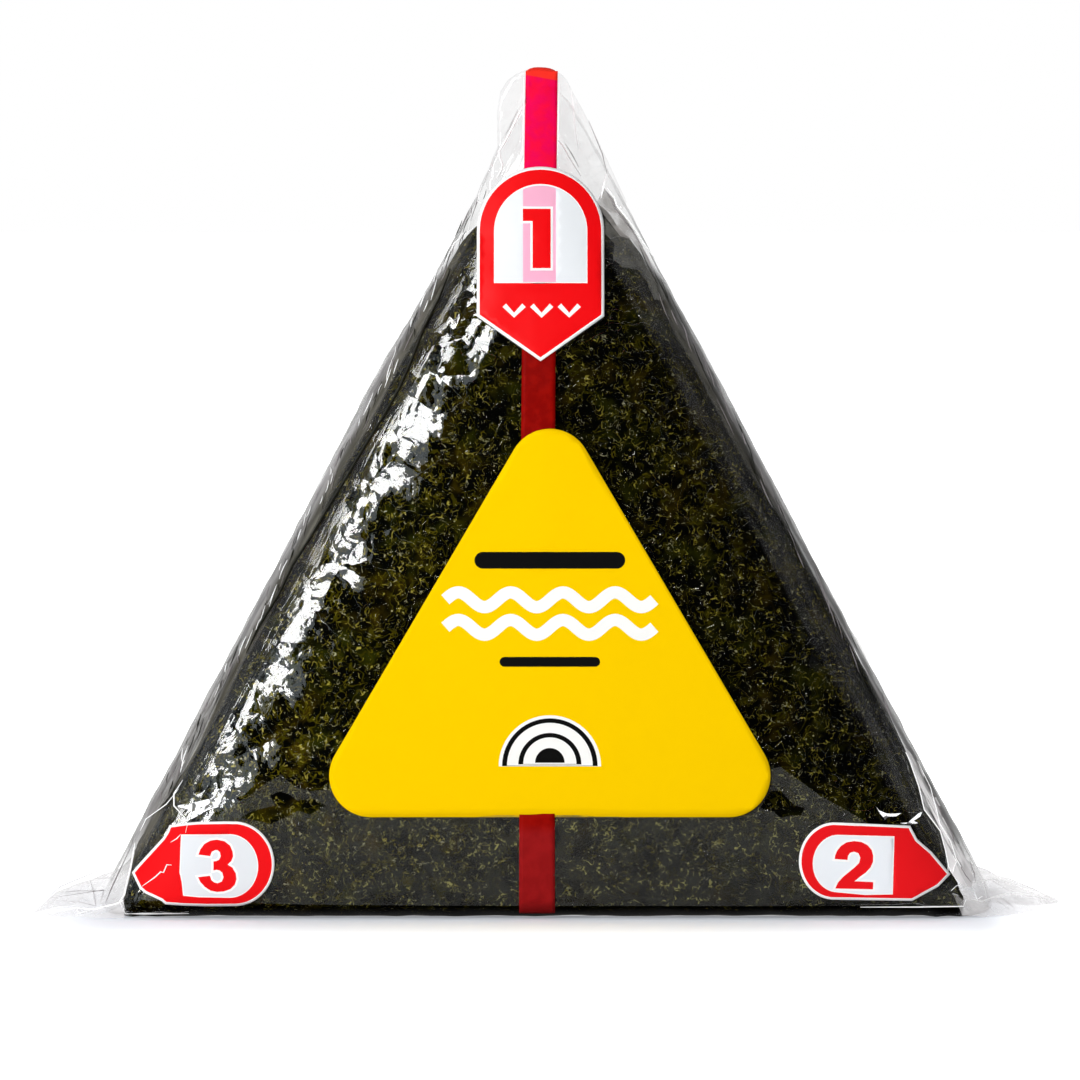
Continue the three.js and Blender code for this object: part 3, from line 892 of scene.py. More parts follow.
def fold_material(name, colour, glow, torn=False):
    """Film seen along a fold, in a flat colour of painted highlight or painted shade, or a painted highlight
    of a facet of it, torn where a noise is low. Its glow is painted light.
    """
    material, tree, shader = new_material(name, roughness=0.4, specular=0.1)
    if torn:
        share = noise_at(tree, warped(tree, millimetres(tree), 0.9, 0.8), 1.6, 1.0)
        tree.links.new(spread(tree, share, 0.40, 0.50, 0.10, 1.0), shader.inputs["Alpha"])
    shader.inputs["Base Color"].default_value = (*colour, 1)
    shader.inputs["Emission Color"].default_value = (1, 1, 1, 1)
    shader.inputs["Emission Strength"].default_value = glow
    return material


def on_bag(line, lift):
    """Stands a line of (x, z) points clear of the bag's front by a lift."""
    return [(x, -bag_form.half_depth(x, z) - lift, z) for x, z in line]


FOLD_LIFT = 0.32
STRIP_FOLD_LIFT = 0.42
LABEL_FOLD_LIFT = 0.62
BRIGHT, GREY, DARK = range(3)
CREASE = [  # (height, distance in from the left sloping edge)
    (27.0, 1.35), (30.0, 1.2), (33.0, 1.45), (36.0, 1.3), (39.0, 1.6), (42.0, 1.75), (45.0, 1.95),
    (48.0, 2.1), (51.0, 2.35), (54.0, 2.45), (57.0, 2.2), (60.0, 1.8), (63.0, 1.75), (66.0, 1.4),
]
dark_crease = [
    (-(EDGE_REACH - inward - bag_form.slope_z * z) / bag_form.slope_x, z) for z, inward in CREASE
]
TAB_FRONT = -0.75
tab_folds = [
    ([(-2.33, 82.58), (-2.86, 81.57), (-3.44, 80.35), (-4.15, 78.99), (-4.87, 77.77),
      (-4.76, 77.05), (-4.51, 76.48), (-4.66, 75.83), (-5.09, 75.04)], 0.14, BRIGHT),
    ([(1.13, 79.0), (1.73, 78.28), (2.45, 76.99), (3.53, 75.27)], 0.12, BRIGHT),
    ([(2.52, 84.08), (2.81, 82.0), (2.95, 80.14), (3.24, 78.13)], 0.06, BRIGHT),
    ([(-2.95, 82.0), (-3.5, 80.9), (-4.3, 79.3)], 0.05, GREY),
    ([(1.9, 78.6), (2.6, 77.5), (3.3, 76.2)], 0.05, GREY),
]
strip_edge_folds = [
    ([(-2.33, 85.4), (-2.32, 82.0), (-2.42, 77.5)], 0.10, BRIGHT),
    ([(1.24, 84.9), (1.22, 81.5), (1.16, 77.5)], 0.10, BRIGHT),
]
bag_folds = [
    (dark_crease, 0.17, DARK),
    ([(6.17, 75.6), (5.87, 74.5), (5.58, 73.2)], 0.13, BRIGHT),
    ([(6.16, 74.2), (6.87, 73.2), (7.16, 72.4), (8.73, 70.4), (10.0, 68.4), (11.4, 66.5)], 0.10, BRIGHT),
    ([(6.0, 73.9), (6.7, 72.9), (7.0, 72.1), (8.5, 70.2), (9.8, 68.2)], 0.06, GREY),
    ([(4.3, 81.0), (5.7, 77.6), (6.17, 75.6)], 0.05, GREY),
    ([(-10.6, 66.2), (-9.4, 68.6), (-7.5, 70.1)], 0.08, BRIGHT),
    ([(-7.08, 72.8), (-6.57, 72.6)], 0.12, BRIGHT),
    ([(-41.9, 7.7), (-42.0, 6.9), (-42.3, 5.2), (-42.66, 3.8), (-42.95, 2.4), (-43.4, 1.7),
      (-42.9, 0.4)], 0.11, BRIGHT),
    ([(-42.9, 0.4), (-40.8, 0.42), (-36.4, 0.5)], 0.07, BRIGHT),
    ([(-42.1, 7.7), (-43.6, 4.5), (-44.3, 3.0), (-44.9, 1.5)], 0.07, GREY),
    ([(-37.0, 14.1), (-37.9, 12.7), (-37.9, 11.5), (-36.4, 10.0)], 0.09, BRIGHT),
    ([(-37.4, 13.2), (-38.7, 11.6), (-40.8, 10.0), (-41.9, 7.7)], 0.06, BRIGHT),
    ([(36.53, 16.89), (36.94, 16.07), (37.88, 13.37), (38.42, 11.09), (40.06, 8.88), (40.6, 6.86),
      (40.86, 5.51), (40.8, 4.7)], 0.07, BRIGHT),
    ([(37.79, 15.9), (39.1, 13.2), (39.7, 11.0), (40.0, 9.67), (41.1, 7.85), (41.7, 6.0), (43.0, 3.9)],
     0.05, BRIGHT),
    ([(39.3, 12.5), (39.95, 11.2), (40.3, 10.2)], 0.09, GREY),
    ([(41.29, 6.49), (41.7, 5.74), (41.42, 5.09), (41.27, 4.56)], 0.05, BRIGHT),
    ([(42.05, 5.72), (42.25, 5.05), (42.66, 4.36), (43.21, 3.64)], 0.06, GREY),
    ([(43.05, 5.96), (43.31, 5.1), (43.58, 4.43), (43.66, 3.7)], 0.05, GREY),
    ([(40.9, 9.4), (41.3, 8.4), (41.6, 7.4)], 0.07, GREY),
    ([(31.9, 1.25), (37.6, 1.25), (42.4, 1.25), (42.66, 1.96)], 0.07, BRIGHT),
]
# Short slanted pleats along each sloping edge. In a row: the side, the lowest and
# the highest, how far apart, how long beside the left ones, and their inks.
SLANTED_PLEATS = [
    (-1, 12.0, 73.0, 0.55, 1.0, (BRIGHT, GREY, DARK)),
    (1, 20.0, 66.0, 0.9, 2.0, (GREY, DARK)),
]
slant_random = random.Random(7)
for side, low, high, pace, stretch, inks in SLANTED_PLEATS:
    height = low
    while height < high:
        inward = slant_random.uniform(0.02, 1.0)
        length = slant_random.uniform(0.7, 2.3) * stretch
        slant = slant_random.uniform(0.12, 0.5)
        bend = slant_random.uniform(-0.12, 0.12)
        line = []
        for share in (0, 0.3, 0.7, 1):
            z = height + length * share
            reach = EDGE_REACH - inward - slant * (1 - share) - bend * math.sin(math.pi * share)
            line.append((side * (reach - bag_form.slope_z * z) / bag_form.slope_x, z))
        bag_folds.append((line, slant_random.uniform(0.03, 0.065), slant_random.choice(inks)))
        height += slant_random.uniform(0.4, 1.6) * pace
label_folds = [
    ([(-41.13, 3.34), (-39.81, 4.29), (-39.22, 4.84), (-38.93, 4.79), (-38.59, 5.57), (-38.1, 5.56)],
     0.08, BRIGHT),
    ([(-36.48, 9.71), (-36.69, 8.84)], 0.07, BRIGHT),
    ([(-37.18, 8.68), (-37.57, 8.24), (-38.21, 7.84)], 0.07, BRIGHT),
]
ear_folds = [
    (LEFT_RIDGE, 0.11, BRIGHT),
    ([(-46.0, -9.3, 0.75), (-47.1, -10.4, 0.5), (-48.0, -11.4, 0.3)], 0.06, BRIGHT),
    ([(-47.8, -9.0, 0.85), (-47.9, -10.2, 0.6), (-47.5, -11.2, 0.4)], 0.04, BRIGHT),
    ([(-44.5, -7.0, 2.4), (-47.8, -7.0, 2.4), (-49.6, -6.0, 2.2)], 0.03, GREY),
    ([(-44.0, -3.2, 3.5), (-46.7, -3.0, 3.4)], 0.03, GREY),
    ([(-43.7, 3.4, 4.8), (-46.8, 3.0, 3.5), (-49.9, 1.2, 2.3), (-52.2, -5.6, 0.6)], 0.035, GREY),
    ([(-45.6, -8.0, 1.2), (-45.3, -4.0, 2.3), (-49.9, -2.4, 1.5)], 0.04, GREY),
    ([(-46.0, -8.4, 0.95), (-48.0, -5.2, 1.2), (-50.3, -3.4, 1.15)], 0.04, GREY),
    ([(-46.0, -8.4, 0.95), (-46.4, -3.0, 2.1), (-46.9, 2.0, 2.9)], 0.04, GREY),
    (RIGHT_RIDGE, 0.10, BRIGHT),
    (RIGHT_FOLD, 0.10, BRIGHT),
    ([(43.2, -10.0, 3.4), (43.5, -11.5, 2.7), (43.8, -12.5, 1.9), (44.4, -12.0, 2.2)], 0.06, BRIGHT),
    ([(41.1, -14.6, 2.9), (41.7, -13.0, 3.3), (43.2, -9.0, 3.6)], 0.06, BRIGHT),
    ([(45.5, -6.0, 3.4), (47.2, -6.5, 2.4)], 0.03, GREY),
    ([(45.9, -10.5, 1.6), (47.2, -9.0, 0.7)], 0.03, GREY),
    ([(44.6, -4.2, 3.2), (44.8, -5.8, 2.5), (44.9, -7.4, 1.7)], 0.05, BRIGHT),
    ([(46.2, -6.6, 1.85), (47.2, -6.8, 1.1), (47.8, -6.7, 0.6)], 0.04, GREY),
]
fold_mesh = bmesh.new()
for line, girth, ink in tab_folds:
    bead(fold_mesh, [(x, TAB_FRONT, z) for x, z in line], girth, ink)
for lines, lift in (
    (strip_edge_folds, STRIP_FOLD_LIFT), (bag_folds, FOLD_LIFT), (label_folds, LABEL_FOLD_LIFT),
):
    for line, girth, ink in lines:
        bead(fold_mesh, on_bag(line, lift), girth, ink)
for line, girth, ink in ear_folds:
    bead(fold_mesh, line, girth, ink)
# Painted highlights and shade: bright folds and facets glow white, grey and dark folds stand for shade in
# creases.
bright_fold = fold_material("bright_fold", (0.93, 0.93, 0.93), 0.4)
painted_facet_highlight = fold_material("painted_facet_highlight", (0.93, 0.95, 0.97), 0.4, torn=True)
grey_fold = fold_material("grey_fold", (0.30, 0.27, 0.28), 0.0)
dark_fold = fold_material("dark_fold", (0.012, 0.012, 0.006), 0.0)
folds = to_piece("film_folds", fold_mesh, [bright_fold, grey_fold, dark_fold])

# Glints: flat white patches lying on the bag, painted highlights where its facets mirror the softbox.
left_glint_outline = [
    (-37.86, 11.44), (-35.48, 11.96), (-34.02, 12.34), (-33.53, 13.15), (-32.23, 13.73), (-33.04, 12.35),
    (-33.12, 11.55), (-34.5, 11.12), (-35.48, 10.54), (-36.2, 10.15), (-36.0, 10.9), (-36.5, 11.2),
]
right_glint_outline = [
    (33.47, 11.54), (33.74, 11.14), (34.56, 10.79), (35.38, 10.77), (36.07, 10.82), (35.52, 10.5),
    (34.7, 10.5), (34.42, 10.18), (33.88, 10.8),
]
far_glint_outline = [
    (35.93, 9.8), (36.75, 9.87), (37.86, 10.77), (38.21, 10.9), (38.0, 10.43), (37.3, 9.99),
    (37.78, 9.77), (37.0, 9.65),
]
GLINT_LIFT = 0.1


def above_bag(x, z):
    return over_bag(x, z) + GLINT_LIFT


glints = [
    to_piece(name, printed_sheet([(outline, 0)], 0.4, above_bag), [painted_facet_highlight])
    for name, outline in (
        ("film_glint_left", left_glint_outline),
        ("film_glint_right", right_glint_outline),
        ("film_glint_far", far_glint_outline),
    )
]

for piece in (tab, left_ear, right_ear, flap, shoulder, veil, *pleats, folds, *glints):
    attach(piece, "root")
    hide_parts("film_pack")

# ---------------------------------------------------------------------------
# The tear strip: a red tape welded under the film. It runs up the front, over
# the tab and down the back, and is painted brighter above the seaweed, as painted
# light for the light that comes through it there. It is pulled to open the bag.
# ---------------------------------------------------------------------------
STRIP_LIFT = 0.14
STRIP_THICKNESS = 0.1
STRIP_FOOT = 0.5
STRAIGHT_TO = 6
STRIP_X = -0.97
STRIP_DRIFT = 0.42  # how far its middle has moved to the right, 76 mm above that
STRIP_WIDTH = 3.62
STRIP_NARROWING = 0.0042
TAB_HALF = 0.45
TAB_TOP = 86.4
BEND = 0.4
BEND_FROM = TAB_TOP - BEND
ARCH_DROP = 0.45
ARCH_TILT = 0.08


def strip_middle(z):
    return STRIP_X + STRIP_DRIFT * (max(0, z - STRAIGHT_TO) / 76) ** 2.4


def strip_width(z):
    return STRIP_WIDTH - STRIP_NARROWING * (z - STRAIGHT_TO)


def strip_depth(x, z):
    return max(bag_form.half_depth(x, z), TAB_HALF) + STRIP_LIFT + STRIP_THICKNESS


def strip_mesh():
    """The tape's rows, closer together where it bends, up the front, over and down the back."""
    heights = []
    z = STRIP_FOOT
    while z < BEND_FROM:
        heights.append(z)
        z += 0.16 if z < 3 or z > 80 else 0.5
    front = [(-1, z) for z in heights]
    turns = [math.pi * i / 8 for i in range(9)]
    over = [(math.cos(turn), BEND_FROM + BEND * math.sin(turn)) for turn in turns]
    path = front + [(-side, z) for side, z in over] + [(1, z) for z in reversed(heights)]
    columns = 8
    mesh = bmesh.new()
    rows = []
    for side, z in path:
        row = []
        for i in range(columns + 1):
            across = 2 * i / columns - 1
            x = strip_middle(z) + strip_width(z) * across / 2
            arch = ARCH_DROP * abs(across) ** 3 + ARCH_TILT * across if z > BEND_FROM else 0
            ripple = 0.04 * noise.noise(Vector((x, z * 0.6, side)) * 0.8)
            row.append(mesh.verts.new((x, side * (strip_depth(x, z) + ripple), z - arch)))
        rows.append(row)
    for near, far in zip(rows, rows[1:]):
        for i in range(columns):
            mesh.faces.new((near[i], near[i + 1], far[i + 1], far[i]))
    return mesh


VEIL_EDGE = (8.5, 10.0)
SEAWEED_EDGE = (73.5, 75.0)
FOLD_EDGE = (85.2, 85.3)
FOLD_LEAN = 0.18


def strip_material():
    """Red tape, veiled by the flap at its foot, dark on the seaweed and painted brighter above it, as
    painted light let through it there.
    """
    material, tree, shader = new_material("red_tape", roughness=0.5, specular=0.02)
    x, _, z = coordinates(tree)
    mottle = noise_at(tree, millimetres(tree), 0.9, 3.0)
    patch = spread(tree, mottle, 0.35, 0.7)
    dark = blend_colours(tree, patch, (0.23, 0.0012, 0.0004, 1), (0.30, 0.003, 0.001, 1))
    veiled = blend_colours(tree, patch, (0.27, 0.007, 0.008, 1), (0.32, 0.009, 0.010, 1))
    painted_backlit = blend_colours(tree, patch, (0.86, 0.0012, 0.085, 1), (0.93, 0.003, 0.050, 1))
    # Painted light: above the seaweed the tape takes a brighter colour for light let through it.
    body = blend_colours(tree, spread(tree, z, *VEIL_EDGE), veiled, dark)
    body = blend_colours(tree, spread(tree, z, *SEAWEED_EDGE), body, painted_backlit)
    leaning = maths(tree, "MULTIPLY_ADD", x, FOLD_LEAN, z)
    body = blend_colours(tree, spread(tree, leaning, *FOLD_EDGE), body, (0.93, 0.031, 0.018, 1))
    tree.links.new(body, shader.inputs["Base Color"])
    tree.links.new(raised(tree, mottle, strength=0.06), shader.inputs["Normal"])
    return material


strip = to_piece("tear_strip_tape", strip_mesh(), [strip_material()])
thicken(strip, STRIP_THICKNESS)
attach(strip, "root")
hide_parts("tear_strip")

# ---------------------------------------------------------------------------
# The labels: printed paper stuck on the film. Each is one sheet, cut along the
# edges of its printed fields so that every field has its own ink, and bent to
# the face that it lies on.
# ---------------------------------------------------------------------------
LABEL_LIFT = 0.46
LABEL_THICKNESS = 0.12


def arc(x, z, radius, start, end, steps=24, squeeze=1):
    """Points on an arc, with its angles in degrees. Below 1, squeeze narrows it."""
    turns = [math.radians(start + (end - start) * i / steps) for i in range(steps + 1)]
    return [(x + squeeze * radius * math.cos(turn), z + radius * math.sin(turn)) for turn in turns]


def stroke(points, width):
    """The outline of a pen stroke of even width along a line of points."""
    left = []
    right = []
    for i, point in enumerate(points):
        before = Vector(points[max(i - 1, 0)])
        after = Vector(points[min(i + 1, len(points) - 1)])
        ahead = (after - before).normalized()
        side = Vector((-ahead.y, ahead.x)) * width / 2
        left.append(tuple(Vector(point) + side))
        right.append(tuple(Vector(point) - side))
    return right + left[::-1]


def paper_group():
    """Label paper: the faint tone of its grain, and the height of grain and broad dents."""
    tree, given, filled = new_group("label_paper", [("Dent Height", 0.05)], ["Tone", "Height"])
    place = millimetres(tree)
    dent = noise_at(tree, place, 0.22, 2.0)
    grain = noise_at(tree, place, 6.0, 2.0)
    height = maths(tree, "MULTIPLY", dent, given["Dent Height"])
    height = maths(tree, "MULTIPLY_ADD", grain, 0.002, height)
    tree.links.new(height, filled["Height"])
    tree.links.new(spread(tree, grain, 0.3, 0.7, 0.985, 1.0), filled["Tone"])
    return tree


label_paper = paper_group()


def ink_material(name, colour, left_colour=None, roughness=0.45, dent=0.12, specular=0.02):
    """Printed paper in one ink, faintly grained and dented. It may be painted paler to the left, as painted
    light.
    """
    material, tree, shader = new_material(name, roughness, specular)
    paper = use_group(tree, label_paper, Dent_Height=dent).outputs
    ink = (*colour, 1)
    if left_colour:
        left_to_right = spread(tree, coordinates(tree)[0], -4.0, 3.0)
        ink = blend_colours(tree, left_to_right, (*left_colour, 1), ink)
    shade = blend_colours(tree, 0.97, (0, 0, 0, 1), ink)
    tone = blend_colours(tree, paper["Tone"], shade, ink)
    tree.links.new(tone, shader.inputs["Base Color"])
    tree.links.new(raised(tree, paper["Height"]), shader.inputs["Normal"])
    return material


white_ink = ink_material("white_paper", (0.97, 0.97, 0.97))
panel_ink = ink_material("cool_white_panel", (0.86, 0.90, 0.945))
# Painted light: the panel at the peak is painted paler to the left.
lit_panel_ink = ink_material("cool_white_panel_at_peak", (0.83, 0.86, 0.89), (0.885, 0.905, 0.93))
pink_ink = ink_material("strip_seen_through_panel", (0.945, 0.454, 0.626))
WHITE, RED, PANEL, PINK = range(4)


def label_inks(red_ink, panel=panel_ink):
    return [white_ink, red_ink, panel, pink_ink]


def over_strip(x, z):
    return bag_form.half_depth(x, z) + LABEL_LIFT


# The first label is an arch over a point, at the peak, with a plain numeral and
# three arrowheads that point the way the strip is pulled.
ARCH_X = -0.62
ARCH_HALF = 6.48
ARCH_TOP = 76.35
ARCH_SHOULDER = 61.3
ARCH_POINT = 56.8
ARCH_SAG = 0.028
PANEL_X = -0.6
PANEL_HALF = 4.75
PANEL_TOP = 74.6
PANEL_FOOT = 64.62
NUMERAL_HALO = 0.24


def arch_outline():
    crown = arc(ARCH_X, ARCH_TOP - ARCH_HALF, ARCH_HALF, 0, 180, 40)
    return [
        (ARCH_X, ARCH_POINT), (ARCH_X + ARCH_HALF, ARCH_SHOULDER), *crown,
        (ARCH_X - ARCH_HALF, ARCH_SHOULDER),
    ]


def arch_depth(x, z):
    """The label is stiff, so it bridges the bag's rounded edges with a gentle bow."""
    bowed = bag_form.half_depth(0, z) - ARCH_SAG * (x - strip_middle(z)) ** 2
    return max(bag_form.half_depth(x, z), bowed) + LABEL_LIFT


def arch_panel():
    crown = arc(PANEL_X, PANEL_TOP - PANEL_HALF, PANEL_HALF, 0, 180, 36)
    return [(PANEL_X - PANEL_HALF, PANEL_FOOT), (PANEL_X + PANEL_HALF, PANEL_FOOT), *crown]


ONE = [(-2.42, 72.1), (-2.42, 70.87), (-1.42, 70.87), (-1.42, 66.13), (0.42, 66.13), (0.42, 72.1)]
PULL_BAND = [(-2.4, 64.74), (0.95, 64.74)] + arc(-0.6, 69.85, 4.57, 70.2, 113.2, 10)


ARROW_XS = (-3.3, -0.5, 2.3)
ARROW_TIP = 61.4
ARROW_HALF = 1.0
ARROW_HEIGHT = 1.0
ARROW_PEN = 0.5


def arrowhead(x):
    top = ARROW_TIP + ARROW_HEIGHT
    return stroke([(x - ARROW_HALF, top), (x, ARROW_TIP), (x + ARROW_HALF, top)], ARROW_PEN)


arch_fields = [
    (arch_outline(), WHITE),
    (inset(arch_outline(), 0.3), RED),
    (arch_panel(), WHITE),
    (inset(arch_panel(), 0.12), PANEL),
    (PULL_BAND, PINK),
    (inset(turned_left(ONE), -NUMERAL_HALO), WHITE),
    (ONE, RED),
]
for arrow_x in ARROW_XS:
    arch_fields.append((arrowhead(arrow_x), WHITE))
glossy_red = ink_material("red_ink_at_peak", (0.885, 0.0035, 0.006), roughness=0.33, specular=0.055)
arch_inks = label_inks(glossy_red, lit_panel_ink)
label_one = to_piece("label_one_print", printed_sheet(arch_fields, 0.7, arch_depth), arch_inks)
thicken(label_one, LABEL_THICKNESS)
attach(label_one, "root")
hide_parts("label_one")


# The second and third labels are bullets that point at the lower corners, each with
# a plain numeral. Their outer ends bend round the corner of the block.
THREE = [
    (-35.37, 6.64), (-35.17, 7.17), (-34.78, 7.71), (-34.15, 8.07), (-33.47, 8.17), (-32.69, 8.01),
    (-32.15, 7.58), (-31.89, 6.99), (-31.83, 6.51), (-32.01, 6.02), (-32.4, 5.65), (-31.91, 5.34),
    (-31.57, 4.76), (-31.49, 4.18), (-31.67, 3.59), (-32.11, 3.15), (-32.79, 2.91), (-33.47, 2.86),
    (-34.15, 3.0), (-34.73, 3.39), (-35.17, 3.87), (-35.39, 4.36), (-34.2, 4.51), (-34.05, 4.07),
    (-33.76, 3.83), (-33.42, 3.73), (-32.98, 3.93), (-32.81, 4.37), (-32.93, 4.81), (-33.22, 5.05),
    (-33.52, 5.11), (-33.84, 5.04), (-33.84, 5.97), (-33.56, 6.0), (-33.27, 6.13), (-33.1, 6.5),
    (-33.17, 6.89), (-33.42, 7.11), (-33.66, 7.12), (-34.0, 6.94), (-34.17, 6.5),
]
TWO = [
    (29.25, 6.23), (30.55, 6.12), (30.62, 6.56), (30.83, 6.85), (31.22, 6.97), (31.66, 6.8),
    (31.87, 6.34), (31.74, 5.83), (31.33, 5.41), (30.71, 4.9), (30.08, 4.38), (29.57, 3.81),
    (29.31, 3.22), (33.15, 3.13), (33.18, 3.87), (31.28, 3.96), (31.85, 4.43), (32.42, 4.84),
    (32.91, 5.36), (33.15, 5.93), (33.17, 6.55), (33.01, 7.12), (32.57, 7.64), (31.95, 7.95),
    (31.22, 8.04), (30.45, 7.9), (29.88, 7.54), (29.51, 7.08), (29.32, 6.61),
]


def corner_fields(outline, panel, numeral):
    return [
        (outline, WHITE),
        (inset(turned_left(outline), 0.26), RED),
        (panel, WHITE),
        (inset(turned_left(panel), 0.1), PANEL),
        (inset(turned_left(numeral), -0.22), WHITE),
        (numeral, RED),
    ]


left_outline = [
    (-42.2, 4.68), (-41.64, 5.38), (-40.12, 7.06), (-39.04, 8.25), (-38.61, 8.93), (-38.36, 9.56),
    (-36.89, 9.8), (-35.52, 9.95), (-32.4, 10.03), *arc(-31.75, 5.7, 4.33, 85, -88, 30, 0.95),
    (-34.55, 1.35), (-36.89, 1.42), (-38.74, 1.54), (-39.12, 1.89), (-39.9, 2.25), (-40.79, 2.63),
    (-41.38, 3.1), (-41.78, 3.85),
]
left_panel = [
    (-37.15, 8.65), *arc(-32.2, 5.5, 3.24, 88, -88, 26, 0.9), (-35.32, 2.31), (-36.92, 2.45),
    (-37.07, 3.86), (-37.29, 4.82), (-37.22, 6.76),
]
left_fields = corner_fields(left_outline, left_panel, THREE)
left_inks = label_inks(
    ink_material("red_ink_at_left", (0.86, 0.008, 0.011), specular=0.012),
    ink_material("cool_white_panel_at_left", (0.775, 0.805, 0.84)),
)
label_three = to_piece("label_three_print", printed_sheet(left_fields, 0.6, over_strip), left_inks)

right_outline = [
    (41.07, 4.56), (39.14, 6.87), (37.68, 8.14), (36.95, 9.54), (32.99, 9.78),
    *arc(29.25, 6.0, 3.95, 92, 265, 30, 0.92), (37.15, 1.92), (39.85, 3.37),
]
right_panel = [
    (35.33, 8.5), *arc(29.6, 5.75, 2.93, 90, 268, 26, 0.88), (32.37, 2.55), (35.17, 2.6),
]
right_fields = corner_fields(right_outline, right_panel, TWO)
right_inks = label_inks(ink_material("red_ink_at_right", (0.83, 0.010, 0.014)))
label_two = to_piece("label_two_print", printed_sheet(right_fields, 0.6, over_strip), right_inks)

for label, node in ((label_two, "label_two"), (label_three, "label_three")):
    thicken(label, LABEL_THICKNESS)
    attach(label, "root")
    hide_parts(node)

# The front label is a rounded triangle of yellow paper, printed with two bars, two
# wavy lines and a half round of rings.
FRONT_X = 0.33
FRONT_HALF = 22.4
FRONT_BOTTOM = 10.5
FRONT_TOP = 49.95
FRONT_RADIUS = 4.2


def front_outline():
    base_half = FRONT_HALF - FRONT_RADIUS
    tilt = math.degrees(math.atan2(base_half, FRONT_TOP - FRONT_BOTTOM - 2 * FRONT_RADIUS))
    low = FRONT_BOTTOM + FRONT_RADIUS
    return (
        arc(FRONT_X + base_half, low, FRONT_RADIUS, -90, tilt, 20)
        + arc(FRONT_X, FRONT_TOP - FRONT_RADIUS, FRONT_RADIUS, tilt, 180 - tilt, 20)
        + arc(FRONT_X - base_half, low, FRONT_RADIUS, 180 - tilt, 270, 20)
    )


def round_bar(x, z, half, radius):
    return arc(x + half, z, radius, -90, 90, 12) + arc(x - half, z, radius, 90, 270, 12)


def wave_line(x, z, half, swell, waves):
    count = 24 * waves
    line = []
    for i in range(count + 1):
        share = i / count
        line.append((x - half + 2 * half * share, z + swell * math.sin(2 * math.pi * waves * share)))
    return line


FRONT_FINISH = dict(roughness=0.5, dent=0.02, specular=0.0)
front_inks = [
    ink_material("yellow_paper", (0.96, 0.605, 0.0006), **FRONT_FINISH),
    ink_material("black_ink", (0.006, 0.006, 0.006), **FRONT_FINISH),
    ink_material("white_print", (0.95, 0.95, 0.93), **FRONT_FINISH),
]
YELLOW, BLACK, PALE = range(3)
RINGS = [(5.2, PALE), (4.85, BLACK), (4.35, PALE), (3.2, BLACK), (2.7, PALE), (1.5, BLACK)]
RINGS_Z = 16.2
RING_SINK = 0.1  # how far a ring's middle lies below that, as a share of its radius
front_fields = [(front_outline(), YELLOW)]
front_fields.append((round_bar(FRONT_X, 36.6, 6.8, 0.85), BLACK))
for wave_z in (32.6, 29.8):
    front_fields.append((stroke(wave_line(FRONT_X, wave_z, 10.6, 0.75, 4), 1.25), PALE))
front_fields.append((round_bar(FRONT_X, 26.3, 4.6, 0.5), BLACK))
for radius, ink in RINGS:
    front_fields.append((arc(FRONT_X, RINGS_Z - RING_SINK * radius, radius, 0, 180, 30), ink))
label_front = to_piece("label_front_print", printed_sheet(front_fields, 0.8, over_strip), front_inks)
thicken(label_front, LABEL_THICKNESS)
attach(label_front, "root")
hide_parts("label_front")

# ---------------------------------------------------------------------------
# The studio: a white floor, softboxes at the left that the crumpled film mirrors
# with a dim halo around them, and soft fill from the sides, front, top and back.
# ---------------------------------------------------------------------------
FLOOR_HALF = 3.0
FLOOR_Z = -0.02
BASE_HALF_X = 0.043
BASE_HALF_Y = 0.012
SHADOW_REACH = 0.054


def floor_material():
    """White paper with a painted shadow close around the pack: there its colour is darker and bluer and its
    glow, seen only by the camera, is lower.
    """
    material, tree, shader = new_material("white_floor", roughness=0.7, specular=0.1)
    x, y, _ = put(tree, "SeparateXYZ", {0: put(tree, "TexCoord").outputs["Object"]}).outputs
    beside = maths(tree, "SUBTRACT", maths(tree, "ABSOLUTE", x), BASE_HALF_X)
    before = maths(tree, "SUBTRACT", maths(tree, "ABSOLUTE", y), BASE_HALF_Y)
    narrower = spread(tree, x, -0.001, 0.001, 3.2, 6.0)
    away = put(tree, "CombineXYZ", {
        0: maths(tree, "MULTIPLY", maths(tree, "MAXIMUM", beside, 0.0), narrower),
        1: maths(tree, "MAXIMUM", before, 0.0),
    })
    far = put(tree, "VectorMath", {0: away.outputs[0]}, operation="LENGTH").outputs["Value"]
    # Painted shadow: the share of open floor, low close around the pack, shorter on the right.
    open_share = spread(tree, far, 0.0, SHADOW_REACH)
    tone = blend_colours(tree, open_share, (0.83, 0.855, 0.90, 1), (0.90, 0.905, 0.915, 1))
    tree.links.new(tone, shader.inputs["Base Color"])
    glow = maths(tree, "MULTIPLY_ADD", open_share, 0.75, 0.25)
    glow = maths(tree, "MULTIPLY", glow, put(tree, "LightPath").outputs["Is Camera Ray"])
    glow_colour = blend_colours(tree, open_share, (0.88, 0.92, 1.0, 1), (1, 1, 1, 1))
    tree.links.new(glow_colour, shader.inputs["Emission Color"])
    tree.links.new(glow, shader.inputs["Emission Strength"])
    return material


floor_mesh = bmesh.new()
corners = [(-1, -1), (1, -1), (1, 1), (-1, 1)]
floor_mesh.faces.new([
    floor_mesh.verts.new((x * FLOOR_HALF / MM, y * FLOOR_HALF / MM, FLOOR_Z)) for x, y in corners
])
floor = to_piece("floor", floor_mesh, [floor_material()])
floor.visible_glossy = False


PACK_MIDDLE = Vector((0, 0, 0.038))


